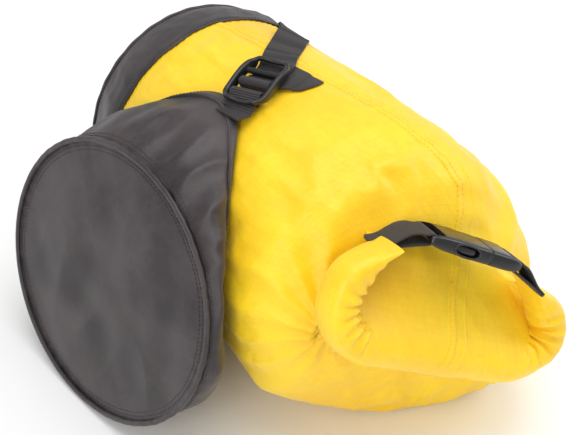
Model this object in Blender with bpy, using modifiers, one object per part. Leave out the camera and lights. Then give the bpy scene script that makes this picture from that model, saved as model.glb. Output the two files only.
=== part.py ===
"""Roll-top compression stuff sack lying on its side, with its compression cap pulled off and leaning on it.

Metres, +Z up. The origin is on the floor, in the middle of the sack's flat underside. The sack's own axis runs
along Y: its sewn base is at +Y and its rolled mouth at -Y. The cap leans on the sack's -X side.
"""

import math

import bmesh
import bpy
import numpy as np
from mathutils import Matrix, Vector

MM = 0.001
GAP = 0.4 * MM  # clearance between pieces that touch

# Sack: a sewn tube on a round base
SACK_CENTRE_Z = 98 * MM
BASE_Y = 142 * MM
BASE_RADIUS = 88 * MM
BAND_WIDTH = 30 * MM
FABRIC = 1.4 * MM  # fabric with its coating and seam tape, drawn thicker than the real 0.2 mm
MOUTH_TURN = math.radians(28)  # how far the flattened mouth is turned about the sack's axis
SIDES = 32

# Webbing and its hardware
WEBBING_WIDTH = 25 * MM
WEBBING_THICK = 1.5 * MM
BAR_RADIUS = 1.8 * MM
SECTION = ((-1, -1), (1, -1), (1, 1), (-1, 1))  # corners of a strap's flat section

# Cap
CAP_HALF_WIDE = 108 * MM
CAP_HALF_TALL = 96 * MM
CAP_CENTRE = Vector((-151, -9, 93)) * MM
CAP_OUT = Vector((-0.93, -0.13, 0.34)).normalized()  # the way the cap's flat top faces
CAP_SIDES = 40

YELLOW = (0.90, 0.66, 0.01)
BLACK_CLOTH = (0.035, 0.030, 0.031)
BLACK_WEBBING = (0.022, 0.020, 0.020)
BLACK_PLASTIC = (0.018, 0.018, 0.020)
WHITE_FILL = (0.70, 0.68, 0.62)


# ---------------------------------------------------------------- scene and materials


def clear_scene():
    for obj in list(bpy.data.objects):
        bpy.data.objects.remove(obj)


def collection(name):
    made = bpy.data.collections.new(name)
    bpy.context.scene.collection.children.link(made)
    return made


clear_scene()
PARTS = collection("stuff_sack")
CUTTERS = collection("cutters")


def material(name, colour, roughness, metallic=0.0):
    made = bpy.data.materials.new(name)
    made.use_nodes = True
    shader = made.node_tree.nodes["Principled BSDF"]
    shader.inputs["Base Color"].default_value = (*colour, 1)
    shader.inputs["Roughness"].default_value = roughness
    shader.inputs["Metallic"].default_value = metallic
    return made


COATED_NYLON = material("coated_nylon", YELLOW, 0.42)
BLACK_NYLON = material("black_nylon", BLACK_CLOTH, 0.5)
WEBBING = material("webbing", BLACK_WEBBING, 0.75)
ACETAL = material("acetal", BLACK_PLASTIC, 0.35)
STRIP_PLASTIC = material("stiffener_plastic", (0.10, 0.10, 0.10), 0.5)
FILLING = material("filling", WHITE_FILL, 0.9)


# ---------------------------------------------------------------- mesh helpers


def add_mesh(name, vertices, faces, finish, where=None):
    mesh = bpy.data.meshes.new(name)
    mesh.from_pydata([tuple(v) for v in vertices], [], faces)
    mesh.materials.append(finish)
    obj = bpy.data.objects.new(name, mesh)
    (where or PARTS).objects.link(obj)
    return obj


def face_out(obj):
    """Merges doubles and turns every face outwards."""
    work = bmesh.new()
    work.from_mesh(obj.data)
    bmesh.ops.remove_doubles(work, verts=work.verts, dist=1e-6)
    bmesh.ops.recalc_face_normals(work, faces=work.faces)
    if work.calc_volume(signed=True) < 0:
        bmesh.ops.reverse_faces(work, faces=work.faces)
    work.to_mesh(obj.data)
    work.free()
    return obj


def skin(rings, closed_rings=True, closed_path=False):
    """Vertices and quads over rings that all have as many points."""
    count = len(rings[0])
    vertices = [p for ring in rings for p in ring]
    faces = []
    last = len(rings) if closed_path else len(rings) - 1
    for i in range(last):
        low, high = i * count, ((i + 1) % len(rings)) * count
        for j in range(count if closed_rings else count - 1):
            k = (j + 1) % count
            faces.append((low + j, low + k, high + k, high + j))
    return vertices, faces


def loft(name, rings, finish, where=None, closed_path=False):
    """A solid over closed rings, capped at both ends unless the path closes on itself."""
    vertices, faces = skin(rings, closed_path=closed_path)
    if not closed_path:
        count = len(rings[0])
        faces.append(tuple(range(count)))
        faces.append(tuple((len(rings) - 1) * count + j for j in range(count)))
    return face_out(add_mesh(name, vertices, faces, finish, where))


def tube_loft(name, outer, inner, finish):
    """A pipe with outer and inner rings, open right through."""
    count = len(outer[0])
    vertices, faces = skin(outer)
    more, inside = skin(inner)
    start = len(vertices)
    vertices += more
    faces += [tuple(start + i for i in reversed(face)) for face in inside]
    for end in (0, (len(outer) - 1) * count):
        for j in range(count):
            k = (j + 1) % count
            faces.append((end + j, end + k, start + end + k, start + end + j))
    return face_out(add_mesh(name, vertices, faces, finish))


def smooth_path(points, count):
    """Evenly spaced points on a Catmull-Rom curve through the given ones."""
    pts = [np.array(p, float) for p in points]
    pts = [2 * pts[0] - pts[1], *pts, 2 * pts[-1] - pts[-2]]
    fine = []
    for a, b, c, d in zip(pts, pts[1:], pts[2:], pts[3:]):
        for t in np.linspace(0, 1, 24, endpoint=False):
            fine.append(0.5 * (2 * b + (c - a) * t + (2 * a - 5 * b + 4 * c - d) * t**2 + (3 * b - a - 3 * c + d) * t**3))
    fine.append(pts[-2])
    fine = np.array(fine)
    along = np.concatenate([[0], np.cumsum(np.linalg.norm(np.diff(fine[:, :3], axis=0), axis=1))])
    spots = np.linspace(0, along[-1], count)
    return np.stack([np.interp(spots, along, fine[:, i]) for i in range(fine.shape[1])], 1)


def frames(path, normals):
    """Tangent, normal and side at each point of a path."""
    found = []
    for i, p in enumerate(path):
        ahead = path[min(i + 1, len(path) - 1)] - path[max(i - 1, 0)]
        tangent = Vector(ahead).normalized()
        normal = Vector(normals[i])
        normal = (normal - tangent * normal.dot(tangent)).normalized()
        found.append((Vector(p), tangent, normal, tangent.cross(normal)))
    return found


def strip(name, path, normals, width, thick, finish):
    """A flat strap of rectangular section along the path, its flat face turned to the normals."""
    rings = []
    for p, _, normal, side in frames(path, normals):
        rings.append([p + side * (width / 2 * a) + normal * (thick / 2 * b) for a, b in SECTION])
    return loft(name, rings, finish)


def rounded_box(name, size, place, finish, bevel=0.0, segments=2, where=None):
    """A box with rounded edges, its centre and axes given by the matrix."""
    x, y, z = (s / 2 for s in size)
    corners = [(a * x, b * y, c * z) for a in (-1, 1) for b in (-1, 1) for c in (-1, 1)]
    sides = [(0, 1, 3, 2), (4, 6, 7, 5), (0, 4, 5, 1), (2, 3, 7, 6), (0, 2, 6, 4), (1, 5, 7, 3)]
    obj = face_out(add_mesh(name, corners, sides, finish, where))
    if bevel:
        edge = obj.modifiers.new("edges", "BEVEL")
        edge.width = bevel
        edge.segments = segments
    obj.matrix_world = place
    return obj


def boolean(obj, other, operation="DIFFERENCE"):
    cut = obj.modifiers.new("boolean", "BOOLEAN")
    cut.operation = operation
    cut.solver = "EXACT"
    cut.object = other
    other.hide_render = True
    other.display_type = "WIRE"
    return obj


def axes_matrix(x, y, z, origin):
    made = Matrix((x, y, z)).transposed().to_4x4()
    made.translation = origin
    return made


# ---------------------------------------------------------------- sack body: fabric tube, stuffed, mouth flattened

# Stations along the sack: y, half-width, half-height, centre height, as mm
STATIONS = (
    (141, 89, 89.0, 91),
    (122, 92, 92, 93),
    (110, 93.6, 93.6, 94.1),
    (100, 95, 95, 95),
    (60, 99, 99, 98),
    (10, 102, 102, 100),
    (-40, 105, 104, 101),
    (-85, 107, 104, 101),
    (-115, 108, 102, 98),
    (-130, 107, 95, 93),
    (-143, 105, 84, 85),
    (-154, 102, 70, 77),
    (-163, 97, 54, 75),
    (-169, 90, 34, 80),
    (-172.5, 83, 17, 90),
    (-174, 78, 7, 96),
)
MOUTH_STARTS = -85 * MM  # from here to the roll the section flattens and turns
MOUTH_SKEW = math.radians(12)  # the roll's right-hand end comes forward


def mouth_share(y):
    """How far the section at this y has turned towards the flattened mouth, 0 to 1."""
    t = min(max((MOUTH_STARTS - y) / (MOUTH_STARTS + 174 * MM), 0), 1)
    return t * t * (3 - 2 * t)


def sack_size(y):
    ys = [s[0] * MM for s in STATIONS][::-1]
    return [float(np.interp(y, ys, [s[i] * MM for s in STATIONS][::-1])) for i in (1, 2, 3)]


def sack_point(angle, y, lift=0.0):
    """A point on the sack: angle from the top towards +X, and lift off the cloth."""
    a, b, middle = sack_size(y)
    share = mouth_share(y)
    turn = MOUTH_TURN * share
    u, v = math.sin(angle), math.cos(angle)
    flat = Vector((u * b, 0, v * a)).normalized() * lift
    x, z = u * a + flat.x, v * b + flat.z
    point = Vector((x * math.cos(turn) + z * math.sin(turn), y, -x * math.sin(turn) + z * math.cos(turn) + middle))
    point.y -= math.tan(MOUTH_SKEW) * point.x * share
    point.z = max(point.z, 2.2 * MM * min(max((y - 100 * MM) / (10 * MM), 0), 1) - lift)
    return point


def sack_normal(angle, y):
    step = 0.02
    along = sack_point(angle, y + 4 * MM) - sack_point(angle, y - 4 * MM)
    around = sack_point(angle + step, y) - sack_point(angle - step, y)
    return around.cross(along).normalized()


def build_sack():
    rings = []
    for y, *_ in STATIONS:
        rings.append([sack_point(2 * math.pi * j / SIDES, y * MM) for j in range(SIDES)])
    return loft("sack_body", rings, COATED_NYLON)


def build_base():
    """The round black base: an end panel with a side wall sewn over the yellow tube."""
    inner, outer = [], []
    for y in (141.4, 132, 122, 112):
        inner.append([sack_point(2 * math.pi * j / SIDES, y * MM, GAP) for j in range(SIDES)])
        outer.append([sack_point(2 * math.pi * j / SIDES, y * MM, GAP + FABRIC) for j in range(SIDES)])
    for ring in inner + outer:
        for p in ring:
            p.y = min(p.y, BASE_Y)
    tube_loft("base_band", outer, inner, BLACK_NYLON)
    edge = [sack_point(2 * math.pi * j / SIDES, 141 * MM, GAP + FABRIC) for j in range(SIDES)]
    low = [p + Vector((0, 0.9 * MM, 0)) for p in edge]
    high = [p + Vector((0, FABRIC, 0)) for p in low]
    loft("base_panel", [low, high], BLACK_NYLON)


def on_sack_path(stations, count, lift):
    """A path and its normals over the sack, from angle and y given at a few places."""
    spots = smooth_path([(math.radians(a), y * MM, 0) for a, y in stations], count)
    # even spacing in angle needs a length scale, so the curve is walked in arc length over the cloth
    points = [sack_point(a, y, lift) for a, y, _ in spots]
    normals = [sack_normal(a, y) for a, y, _ in spots]
    return points, normals


def build_seams():
    """The tube's long side seam, a flat felled seam standing a little proud, and the tape line beside it."""
    stations = ((4, 107), (6, 80), (7, 50), (8, 25), (10, -2), (15, -34), (18, -80), (16, -111), (9, -140), (5, -157))
    points, normals = on_sack_path(stations, 40, 1.2 * MM)
    strip("side_seam", points, normals, 7 * MM, 1.0 * MM, COATED_NYLON)
    beside = [(angle + 7, y) for angle, y in stations]
    points, normals = on_sack_path(beside, 40, 0.9 * MM)
    strip("seam_tape_edge", points, normals, 2 * MM, 0.6 * MM, COATED_NYLON)


# ---------------------------------------------------------------- rolled mouth

RING_CENTRE = Vector((2, -183, 132)) * MM
LEAN = math.radians(17)  # the ring's top leans back over the sack


def ring_axes():
    e1 = Vector((math.cos(MOUTH_TURN) * math.cos(MOUTH_SKEW), -math.sin(MOUTH_SKEW), -math.sin(MOUTH_TURN) * math.cos(MOUTH_SKEW)))
    up = Vector((0, math.sin(LEAN), math.cos(LEAN)))
    e2 = (up - e1 * up.dot(e1)).normalized()
    return e1, e2, e1.cross(e2)


E1, E2, E3 = ring_axes()

# The roll's centre line in the ring's plane, as mm along E1 and E2: ears curl up from the flat bottom
ROLL_LINE = ((-48, 25), (-64, 20), (-76, 4), (-74, -18), (-58, -32), (-20, -35), (25, -35), (66, -33), (87, -21), (91, -4), (80, 8), (62, 13))


def ring_point(a, b, c=0.0):
    return RING_CENTRE + E1 * (a * MM) + E2 * (b * MM) + E3 * (c * MM)


def oval(centre, across, out, half_across, half_out, count=14):
    """An oval ring of points, squarer than an ellipse."""
    points = []
    for j in range(count):
        t = 2 * math.pi * j / count
        c, s = math.cos(t), math.sin(t)
        points.append(centre + across * (half_across * math.copysign(abs(c) ** 0.85, c)) + out * (half_out * math.copysign(abs(s) ** 0.85, s)))
    return points


def roll_rings(half_across, half_out, trim=0, count=27):
    """Rings along the roll: half_across lies in the ring's plane and half_out along E3. Trim drops end rings."""
    line = [ring_point(a, b) for a, b in smooth_path(ROLL_LINE, count)]
    rings = []
    for i in range(trim, count - trim):
        tangent = (line[min(i + 1, count - 1)] - line[max(i - 1, 0)]).normalized()
        rings.append(oval(line[i], tangent.cross(E3).normalized(), E3, half_across, half_out))
    return rings


def build_roll():
    """Three turns of the mouth round a stiff strip: the outer turn, the inner turns, and the strip."""
    outer, inner = roll_rings(12.5 * MM, 15 * MM), roll_rings(10 * MM, 12.5 * MM)
    tube_loft("roll_outer_turn", outer, inner, COATED_NYLON)
    outer = roll_rings(9.6 * MM, 12.1 * MM, 1)
    inner = roll_rings(1.6 * MM, 9.4 * MM, 1)
    tube_loft("roll_inner_turns", outer, inner, COATED_NYLON)
    loft("roll_stiffener", roll_rings(0.8 * MM, 8.6 * MM, 2), STRIP_PLASTIC)


# ---------------------------------------------------------------- mouth buckle

BUCKLE_AXIS = Vector((0.809, -0.365, -0.462)).normalized()  # from the socket half to the plug half
BUCKLE_FACE = (Vector((0.544, 0.16, 0.823)) - BUCKLE_AXIS * Vector((0.544, 0.16, 0.823)).dot(BUCKLE_AXIS)).normalized()
BUCKLE_SIDE = BUCKLE_FACE.cross(BUCKLE_AXIS)
BUCKLE_MIDDLE = Vector((32.5, -178.5, 158)) * MM  # on the split line between the halves
BUCKLE_WIDE = 33 * MM
BUCKLE_DEEP = 11 * MM
SOCKET_LONG = 44 * MM
PLUG_LONG = 24 * MM
PRONG_ROOT = -1.5 * MM
PRONG_SIDE = 9.6 * MM


def buckle_place(along, side, out):
    centre = BUCKLE_MIDDLE + BUCKLE_AXIS * along + BUCKLE_SIDE * side + BUCKLE_FACE * out
    return axes_matrix(BUCKLE_AXIS, BUCKLE_SIDE, BUCKLE_FACE, centre)


def buckle_block(name, size, at, bevel=0.0, where=None, segments=2):
    return rounded_box(name, [v * MM for v in size], buckle_place(*[v * MM for v in at]), ACETAL, bevel * MM, segments, where)


def build_buckle():
    """Side-release buckle: the socket on the left, the plug with its two sprung prongs on the right."""
    long, wide, deep = SOCKET_LONG / MM, BUCKLE_WIDE / MM, BUCKLE_DEEP / MM
    socket = buckle_block("buckle_socket", (long, wide, deep), (-long / 2 - 0.2, 0, 0), 2.4, segments=3)
    boolean(socket, buckle_block("cut_socket_hollow", (34, 26.4, 6.4), (-12.5, 0, 0), 0, CUTTERS))
    boolean(socket, buckle_block("cut_socket_sides", (17, 60, 6.4), (-18, 0, 0), 2.5, CUTTERS, 3))
    boolean(socket, buckle_block("cut_socket_slot", (5.0, 26.4, 30), (-37.2, 0, 0), 0.8, CUTTERS))
    for side in (-1, 1):
        boolean(socket, buckle_block(f"thin_socket_bar_{side}", (9, 26.4, 10), (-long + 3.9, 0, side * 7.4), 0, CUTTERS))
    plug_long = PLUG_LONG / MM
    plug = buckle_block("buckle_plug", (plug_long, wide, deep), (plug_long / 2 + 0.2, 0, 0), 2.2, segments=3)
    boolean(plug, buckle_block("cut_plug_slot", (5.0, 26.4, 30), (plug_long - 6.4, 0, 0), 0.8, CUTTERS))
    for side in (-1, 1):
        boolean(plug, buckle_block(f"thin_plug_bar_{side}", (9, 26.4, 10), (plug_long - 3.9, 0, side * 7.4), 0, CUTTERS))
    boolean(plug, buckle_block("tongue", (26, 6.0, 4.4), (-9, 0, 0), 0.6, CUTTERS), "UNION")
    for name, sign in (("prong_rear", 1), ("prong_front", -1)):
        root = buckle_block(name, (20.4, 3.2, 5.4), (-10.6, sign * PRONG_SIDE / MM, 0), 0.5)
        boolean(root, buckle_block("button_" + name, (12.5, 4.6, 5.4), (-17.4, sign * 12.4, 0), 1.6, CUTTERS, 3), "UNION")


def webbing_loop(name, bar, direction, across, bar_radius, reach, finish):
    """Webbing folded round a bar: both layers leave along the direction and are cut at their reach."""
    direction = (direction - across * direction.dot(across)).normalized()
    normal = across.cross(direction).normalized()
    out = bar_radius + GAP + WEBBING_THICK / 2
    path, normals = [], []
    for level, spot in ((1, reach[0]), (1, reach[0] * 0.5)):
        path.append(bar + direction * spot + normal * (level * out))
        normals.append(normal)
    for k in range(9):
        turn = math.pi * k / 8
        ray = normal * math.cos(turn) - direction * math.sin(turn)
        path.append(bar + ray * out)
        normals.append(ray)
    for spot in (reach[1] * 0.5, reach[1]):
        path.append(bar + direction * spot - normal * out)
        normals.append(-normal)
    return strip(name, path, normals, WEBBING_WIDTH, WEBBING_THICK, finish)


def build_mouth_webbing():
    """Short webbing tabs sewn into the two ends of the rolled mouth, each folded round its buckle half's bar."""
    long, plug_long = SOCKET_LONG / MM, PLUG_LONG / MM
    left_bar = BUCKLE_MIDDLE + BUCKLE_AXIS * (-(long - 2.0) * MM)
    right_bar = BUCKLE_MIDDLE + BUCKLE_AXIS * ((plug_long - 1.9) * MM)
    left_to = (ring_point(-46, 31) - left_bar).normalized()
    webbing_loop("mouth_webbing_left", left_bar, left_to, BUCKLE_SIDE, 3.5 * MM, (13 * MM, 11 * MM), WEBBING)
    right_to = (ring_point(80, 26) - right_bar).normalized()
    webbing_loop("mouth_webbing_right", right_bar, right_to, BUCKLE_SIDE, 3.5 * MM, (9 * MM, 9 * MM), WEBBING)


# ---------------------------------------------------------------- ladderlocks and their straps

LOCK_LONG = 45 * MM
LOCK_WIDE = 34.4 * MM
BARS = (-12.5 * MM, -1.0 * MM, 10.5 * MM)  # along the lock: looped to the cap, carrying the strap, bare
BAR_HEIGHT = 6.2 * MM  # bar centres off the cloth
LOCK_LOW, LOCK_HIGH = 3.2 * MM, 11.2 * MM


class LockFrame:
    """Axes of a ladderlock lying on the sack: along it, across it and out of the cloth."""

    def __init__(self, angle, y, along):
        self.origin = sack_point(math.radians(angle), y * MM, 0)
        self.out = sack_normal(math.radians(angle), y * MM)
        heading = Vector(along)
        self.along = (heading - self.out * heading.dot(self.out)).normalized()
        self.across = self.out.cross(self.along)

    def at(self, s, n, t=0.0):
        return self.origin + self.along * s + self.out * n + self.across * t

    def matrix(self, s, n, t=0.0):
        return axes_matrix(self.along, self.across, self.out, self.at(s, n, t))


TOP_LOCK = LockFrame(-12.5, -3, (0.911, 0.405, 0.1))
LOW_LOCK = LockFrame(-130, -20, (0.36, 0.90, -0.25))


def build_lock(name, frame):
    """Ladderlock: a raised ring wall with arched ends, and three round bars across it."""
    middle = (LOCK_LOW + LOCK_HIGH) / 2
    tall = LOCK_HIGH - LOCK_LOW
    body = rounded_box(name, (LOCK_LONG, LOCK_WIDE, tall), frame.matrix(0, middle), ACETAL, 1.6 * MM, 3)
    inside = rounded_box("cut_inside_" + name, (LOCK_LONG - 5 * MM, WEBBING_WIDTH + 2.4 * MM, 40 * MM), frame.matrix(0, middle), ACETAL, 1.2 * MM, 2, CUTTERS)
    boolean(body, inside)
    arch = rounded_box("cut_arch_" + name, (80 * MM, WEBBING_WIDTH + 2.4 * MM, 8 * MM), frame.matrix(0, 7.2 * MM - 4 * MM), ACETAL, 1.0 * MM, 2, CUTTERS)
    boolean(body, arch)
    wedge = [(-12.0, 3.3), (-26.0, 8.6), (-26.0, -8.0), (-12.0, -8.0)]
    rings = [[frame.at(s * MM, n * MM, side * 30 * MM) for s, n in wedge] for side in (-1, 1)]
    boolean(body, loft("cut_heel_" + name, rings, ACETAL, CUTTERS))
    for number, s in enumerate(BARS):
        rings = []
        for side in (-1, 1):
            ring = []
            for k in range(12):
                turn = 2 * math.pi * k / 12
                ring.append(frame.at(s + BAR_RADIUS * math.cos(turn), BAR_HEIGHT + BAR_RADIUS * math.sin(turn), side * (LOCK_WIDE / 2 - 1.6 * MM)))
            rings.append(ring)
        bar = loft(f"bar_{number}_{name}", rings, ACETAL, CUTTERS)
        boolean(body, bar, "UNION")


def local_strip(name, frame, spots, width, thick, finish, lead=(), lead_normals=()):
    """A strap through the lock from (s, n) spots in the frame, after the lead-in points given in world axes."""
    path = [Vector(p) for p in lead] + [frame.at(s * MM, n * MM) for s, n in spots]
    across = frame.across
    normals = []
    for i, p in enumerate(path):
        ahead = path[min(i + 1, len(path) - 1)] - path[max(i - 1, 0)]
        if i < len(lead_normals):
            normals.append(lead_normals[i])
        else:
            normals.append(across.cross(ahead).normalized())
    return path, normals


def wrap(centre, radius, first, last, count=8):
    """(s, n) spots round a bar, angles in degrees from +s."""
    return [(centre + radius * math.cos(math.radians(a)), BAR_HEIGHT / MM + radius * math.sin(math.radians(a))) for a in np.linspace(first, last, count)]


def build_strap(name, frame, stations, lift):
    """Webbing from the base to the lock: under the bare bar, up round the middle bar and back out as a tail."""
    lead, lead_normals = on_sack_path(stations, 22, lift)
    round_bar = BAR_RADIUS / MM + 0.4 + 0.75
    spots = [(28, 3.2), (23, 2.5), (17, 1.8), (8, 1.7), (1, 1.7), (-3.4, 2.4)]
    spots += wrap(BARS[1] / MM, round_bar, 205, 5, 9)
    spots += [(3.0, 4.4), (6.4, 3.6), (12, 3.5), (18, 3.7), (24, 4.7), (30, 5.9)]
    path, normals = local_strip(name, frame, spots, WEBBING_WIDTH, WEBBING_THICK, WEBBING, lead, lead_normals)
    side = 1
    rings = []
    for i, p in enumerate(path):
        tangent = (path[min(i + 1, len(path) - 1)] - path[max(i - 1, 0)]).normalized()
        normal = Vector(normals[i])
        normal = (normal - tangent * normal.dot(tangent)).normalized()
        if i >= len(lead):
            normal = frame.across.cross(tangent).normalized()
            if i == len(lead):
                side = 1 if normal.dot(Vector(lead_normals[-1])) > 0 else -1
            normal = normal * side
        across = tangent.cross(normal)
        rings.append([p + across * (WEBBING_WIDTH / 2 * a) + normal * (WEBBING_THICK * 0.46 * b) for a, b in SECTION])
    return loft(name, rings, WEBBING)


# ---------------------------------------------------------------- compression cap

CAP_UP = (Vector((0, 0, 1)) - CAP_OUT * CAP_OUT.z).normalized()
CAP_ACROSS = CAP_OUT.cross(CAP_UP)
RIM_TALL = 94 * MM  # the mouth lies on the sack's side as a ring, seen along X
RIM_NEAR = 91 * MM
RIM_FAR = 80 * MM
RIM_CENTRE_Z = 100 * MM
LOW_RIM_X = -97 * MM


def cap_rim(turn, lift=0.0):
    """The mouth's edge: upper part laid on the sack, lower part hanging clear of it to the floor."""
    y = (RIM_FAR if math.sin(turn) > 0 else RIM_NEAR) * math.sin(turn)
    z = max(RIM_CENTRE_Z + RIM_TALL * math.cos(turn), 4 * MM)
    a, b, middle = sack_size(y)
    rise = min(max((z - middle) / b, -1), 1)
    x = -a * math.sqrt(1 - rise * rise) if rise > 0 else -a
    if rise < 0:
        x += (LOW_RIM_X + a) * min(-rise, 1)
    outward = Vector((x, 0, max(z - middle, 0))).normalized()
    return Vector((x, y, z)) + outward * (3.0 * MM + lift)


def cap_edge(turn, inset=0.0, forward=0.0):
    wide, tall = CAP_HALF_WIDE - inset, CAP_HALF_TALL - inset
    return CAP_CENTRE + CAP_UP * (tall * math.cos(turn)) + CAP_ACROSS * (wide * math.sin(turn)) + CAP_OUT * forward


def cap_wall(turn, share, inset=0.0):
    """A point on the side wall, from the flat top's edge (0) to the mouth (1). The slack cloth bellies outwards."""
    start, end = cap_edge(turn), cap_rim(turn)
    point = start.lerp(end, share)
    radial = Vector((0, math.sin(turn), math.cos(turn)))
    slack = 5 + (2 if math.sin(turn) > 0 else 9) * abs(math.sin(turn)) - 4 * max(-math.cos(turn), 0)
    point += radial * (slack * 4 * share * (1 - share) * MM - inset)
    point += Vector((1, 0, 0)) * (inset * 0.25 * (1 - 2 * share))
    point.z = max(point.z, 0.6 * MM + inset)
    return point


def around(function):
    return [function(2 * math.pi * j / CAP_SIDES) for j in range(CAP_SIDES)]


def build_cap():
    """Black cap: a flat round top, a deep side wall, a doubled seam ridge and a hemmed mouth."""
    shares = (0.0, 0.22, 0.45, 0.68, 0.87)
    outer = [around(lambda turn, s=s: cap_wall(turn, s)) for s in shares]
    inner = [around(lambda turn, s=s: cap_wall(turn, s, FABRIC)) for s in shares]
    tube_loft("cap_side_wall", outer, inner, BLACK_NYLON)
    shares = (0.885, 0.94, 1.0)
    outer = [around(lambda turn, s=s: cap_wall(turn, s, -0.5 * MM)) for s in shares]
    inner = [around(lambda turn, s=s: cap_wall(turn, s, 1.9 * MM)) for s in shares]
    tube_loft("cap_mouth_hem", outer, inner, BLACK_NYLON)
    rings = []
    steps = ((0.15, 0), (0.5, 0), (0.8, 0), (1, 0), (1, 1), (0.8, 1), (0.5, 1), (0.15, 1))
    for spread, front in steps:
        dome = 5.0 * MM * (1 - spread**2) + (FABRIC if front else 0) - 0.2 * MM
        gap = FABRIC + 1.0 * MM
        rings.append(around(lambda turn, k=spread, d=dome, g=gap: CAP_CENTRE + (cap_edge(turn, g) - CAP_CENTRE) * k + CAP_OUT * d))
    loft("cap_flat_top", rings, BLACK_NYLON)
    ridge = []
    for j in range(CAP_SIDES):
        turn = 2 * math.pi * j / CAP_SIDES
        section = ((1.2, 1.9), (-1.6, 1.9), (-1.6, 4.2), (1.2, 4.2))
        ridge.append([cap_edge(turn, -inset * MM, forward * MM) for inset, forward in section])
    loft("cap_edge_seam", ridge, BLACK_NYLON, closed_path=True)


def build_cap_loop(name, frame, turn, over_wall):
    """Webbing sewn on the cap's wall at the mouth and folded round the lock's first bar."""
    radius = BAR_RADIUS / MM + 0.4 + 0.75
    first = BARS[0] / MM
    spots = [(first - 9.5, 5.0), (first - 6.0, 5.9)] + wrap(first, radius, 140, -90, 9)
    spots += [(first - 3.5, 2.9), (first - 6, 2.7)]
    path = []
    for share, lift in over_wall:
        spot = cap_wall(turn, share, -lift * MM)
        path.append((*spot, *frame.across))
    path += [(*frame.at(s * MM, n * MM), *frame.across) for s, n in spots]
    fine = [(Vector(p[:3]), Vector(p[3:])) for p in smooth_path(path, 44)]
    rings = []
    for i, (p, side) in enumerate(fine):
        tangent = (fine[min(i + 1, len(fine) - 1)][0] - fine[max(i - 1, 0)][0]).normalized()
        across = (side - tangent * side.dot(tangent)).normalized()
        normal = across.cross(tangent)
        rings.append([p + across * (WEBBING_WIDTH / 2 * a) + normal * (WEBBING_THICK * 0.46 * b) for a, b in SECTION])
    return loft(name, rings, WEBBING)


# ---------------------------------------------------------------- assembly


def joint_empty(name, at, nodes):
    """An empty on a joint's axis that carries the nodes moving with it."""
    empty = bpy.data.objects.new(name, None)
    empty.empty_display_size = 0.01
    PARTS.objects.link(empty)
    empty.location = at
    bpy.context.view_layer.update()
    for node in nodes:
        child = bpy.data.objects[node]
        child.parent = empty
        child.matrix_parent_inverse = empty.matrix_world.inverted()


build_sack()
build_base()
build_seams()
build_roll()
build_buckle()
build_mouth_webbing()
for lock_name, lock_frame in (("ladderlock_top", TOP_LOCK), ("ladderlock_low", LOW_LOCK)):
    build_lock(lock_name, lock_frame)
build_strap("strap_top", TOP_LOCK, ((60, 126), (52, 108), (39, 80), (25, 55), (14, 36), (7, 24)), 3.4 * MM)
build_strap("strap_low", LOW_LOCK, ((-126, 126), (-127, 108), (-129, 80), (-131, 50), (-132, 18)), 3.4 * MM)
build_cap()
build_cap_loop("cap_loop_top", TOP_LOCK, math.radians(-8), ((0.76, 4.0), (0.86, 4.8), (0.96, 4.9)))
build_cap_loop("cap_loop_low", LOW_LOCK, math.radians(217), ())

CAP_NODES = ("cap_flat_top", "cap_side_wall", "cap_mouth_hem", "cap_edge_seam", "cap_loop_top", "cap_loop_low")
top_bar, low_bar = TOP_LOCK.at(BARS[0], BAR_HEIGHT), LOW_LOCK.at(BARS[0], BAR_HEIGHT)
joint_empty("cap_hinge_axis", top_bar, CAP_NODES)
joint_empty("ladderlock_top_axis", top_bar, ("ladderlock_top",))
joint_empty("ladderlock_low_axis", low_bar, ("ladderlock_low",))
joint_empty("buckle_slide_axis", BUCKLE_MIDDLE, ("buckle_plug",))
for prong, sign in (("prong_rear", 1), ("prong_front", -1)):
    root = BUCKLE_MIDDLE + BUCKLE_AXIS * PRONG_ROOT + BUCKLE_SIDE * (sign * PRONG_SIDE)
    joint_empty(prong + "_axis", root, (prong,))
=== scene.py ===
"""Roll-top compression stuff sack lying on its side, with its compression cap pulled off and leaning on it."""

import math

import bpy
import numpy as np
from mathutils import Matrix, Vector, noise
from mathutils.bvhtree import BVHTree


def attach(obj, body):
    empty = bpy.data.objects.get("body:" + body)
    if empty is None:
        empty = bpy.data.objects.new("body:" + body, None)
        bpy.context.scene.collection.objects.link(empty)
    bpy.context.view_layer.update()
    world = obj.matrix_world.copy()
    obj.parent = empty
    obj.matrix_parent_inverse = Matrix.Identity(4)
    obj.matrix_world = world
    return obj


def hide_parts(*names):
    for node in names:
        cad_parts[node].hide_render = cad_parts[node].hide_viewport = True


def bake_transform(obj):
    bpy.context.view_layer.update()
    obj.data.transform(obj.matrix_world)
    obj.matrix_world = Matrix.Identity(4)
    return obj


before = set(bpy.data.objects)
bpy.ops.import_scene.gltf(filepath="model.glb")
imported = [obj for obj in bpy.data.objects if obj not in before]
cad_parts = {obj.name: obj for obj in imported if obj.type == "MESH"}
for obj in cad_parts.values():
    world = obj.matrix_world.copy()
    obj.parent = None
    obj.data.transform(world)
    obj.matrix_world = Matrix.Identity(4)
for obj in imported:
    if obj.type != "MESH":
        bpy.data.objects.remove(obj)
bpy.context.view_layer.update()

# ------------------------------------------------------------------ sack cloth
# A tube of yellow coated ripstop nylon, filled with soft kit. It is sewn to the base at one end, and its
# mouth is flattened and rolled at the other. It rests on the floor on its own weight.

MM = 0.001
SACK_ROWS = 150
SACK_COLUMNS = 208
SACK_BODY_ROWS = 108
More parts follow.
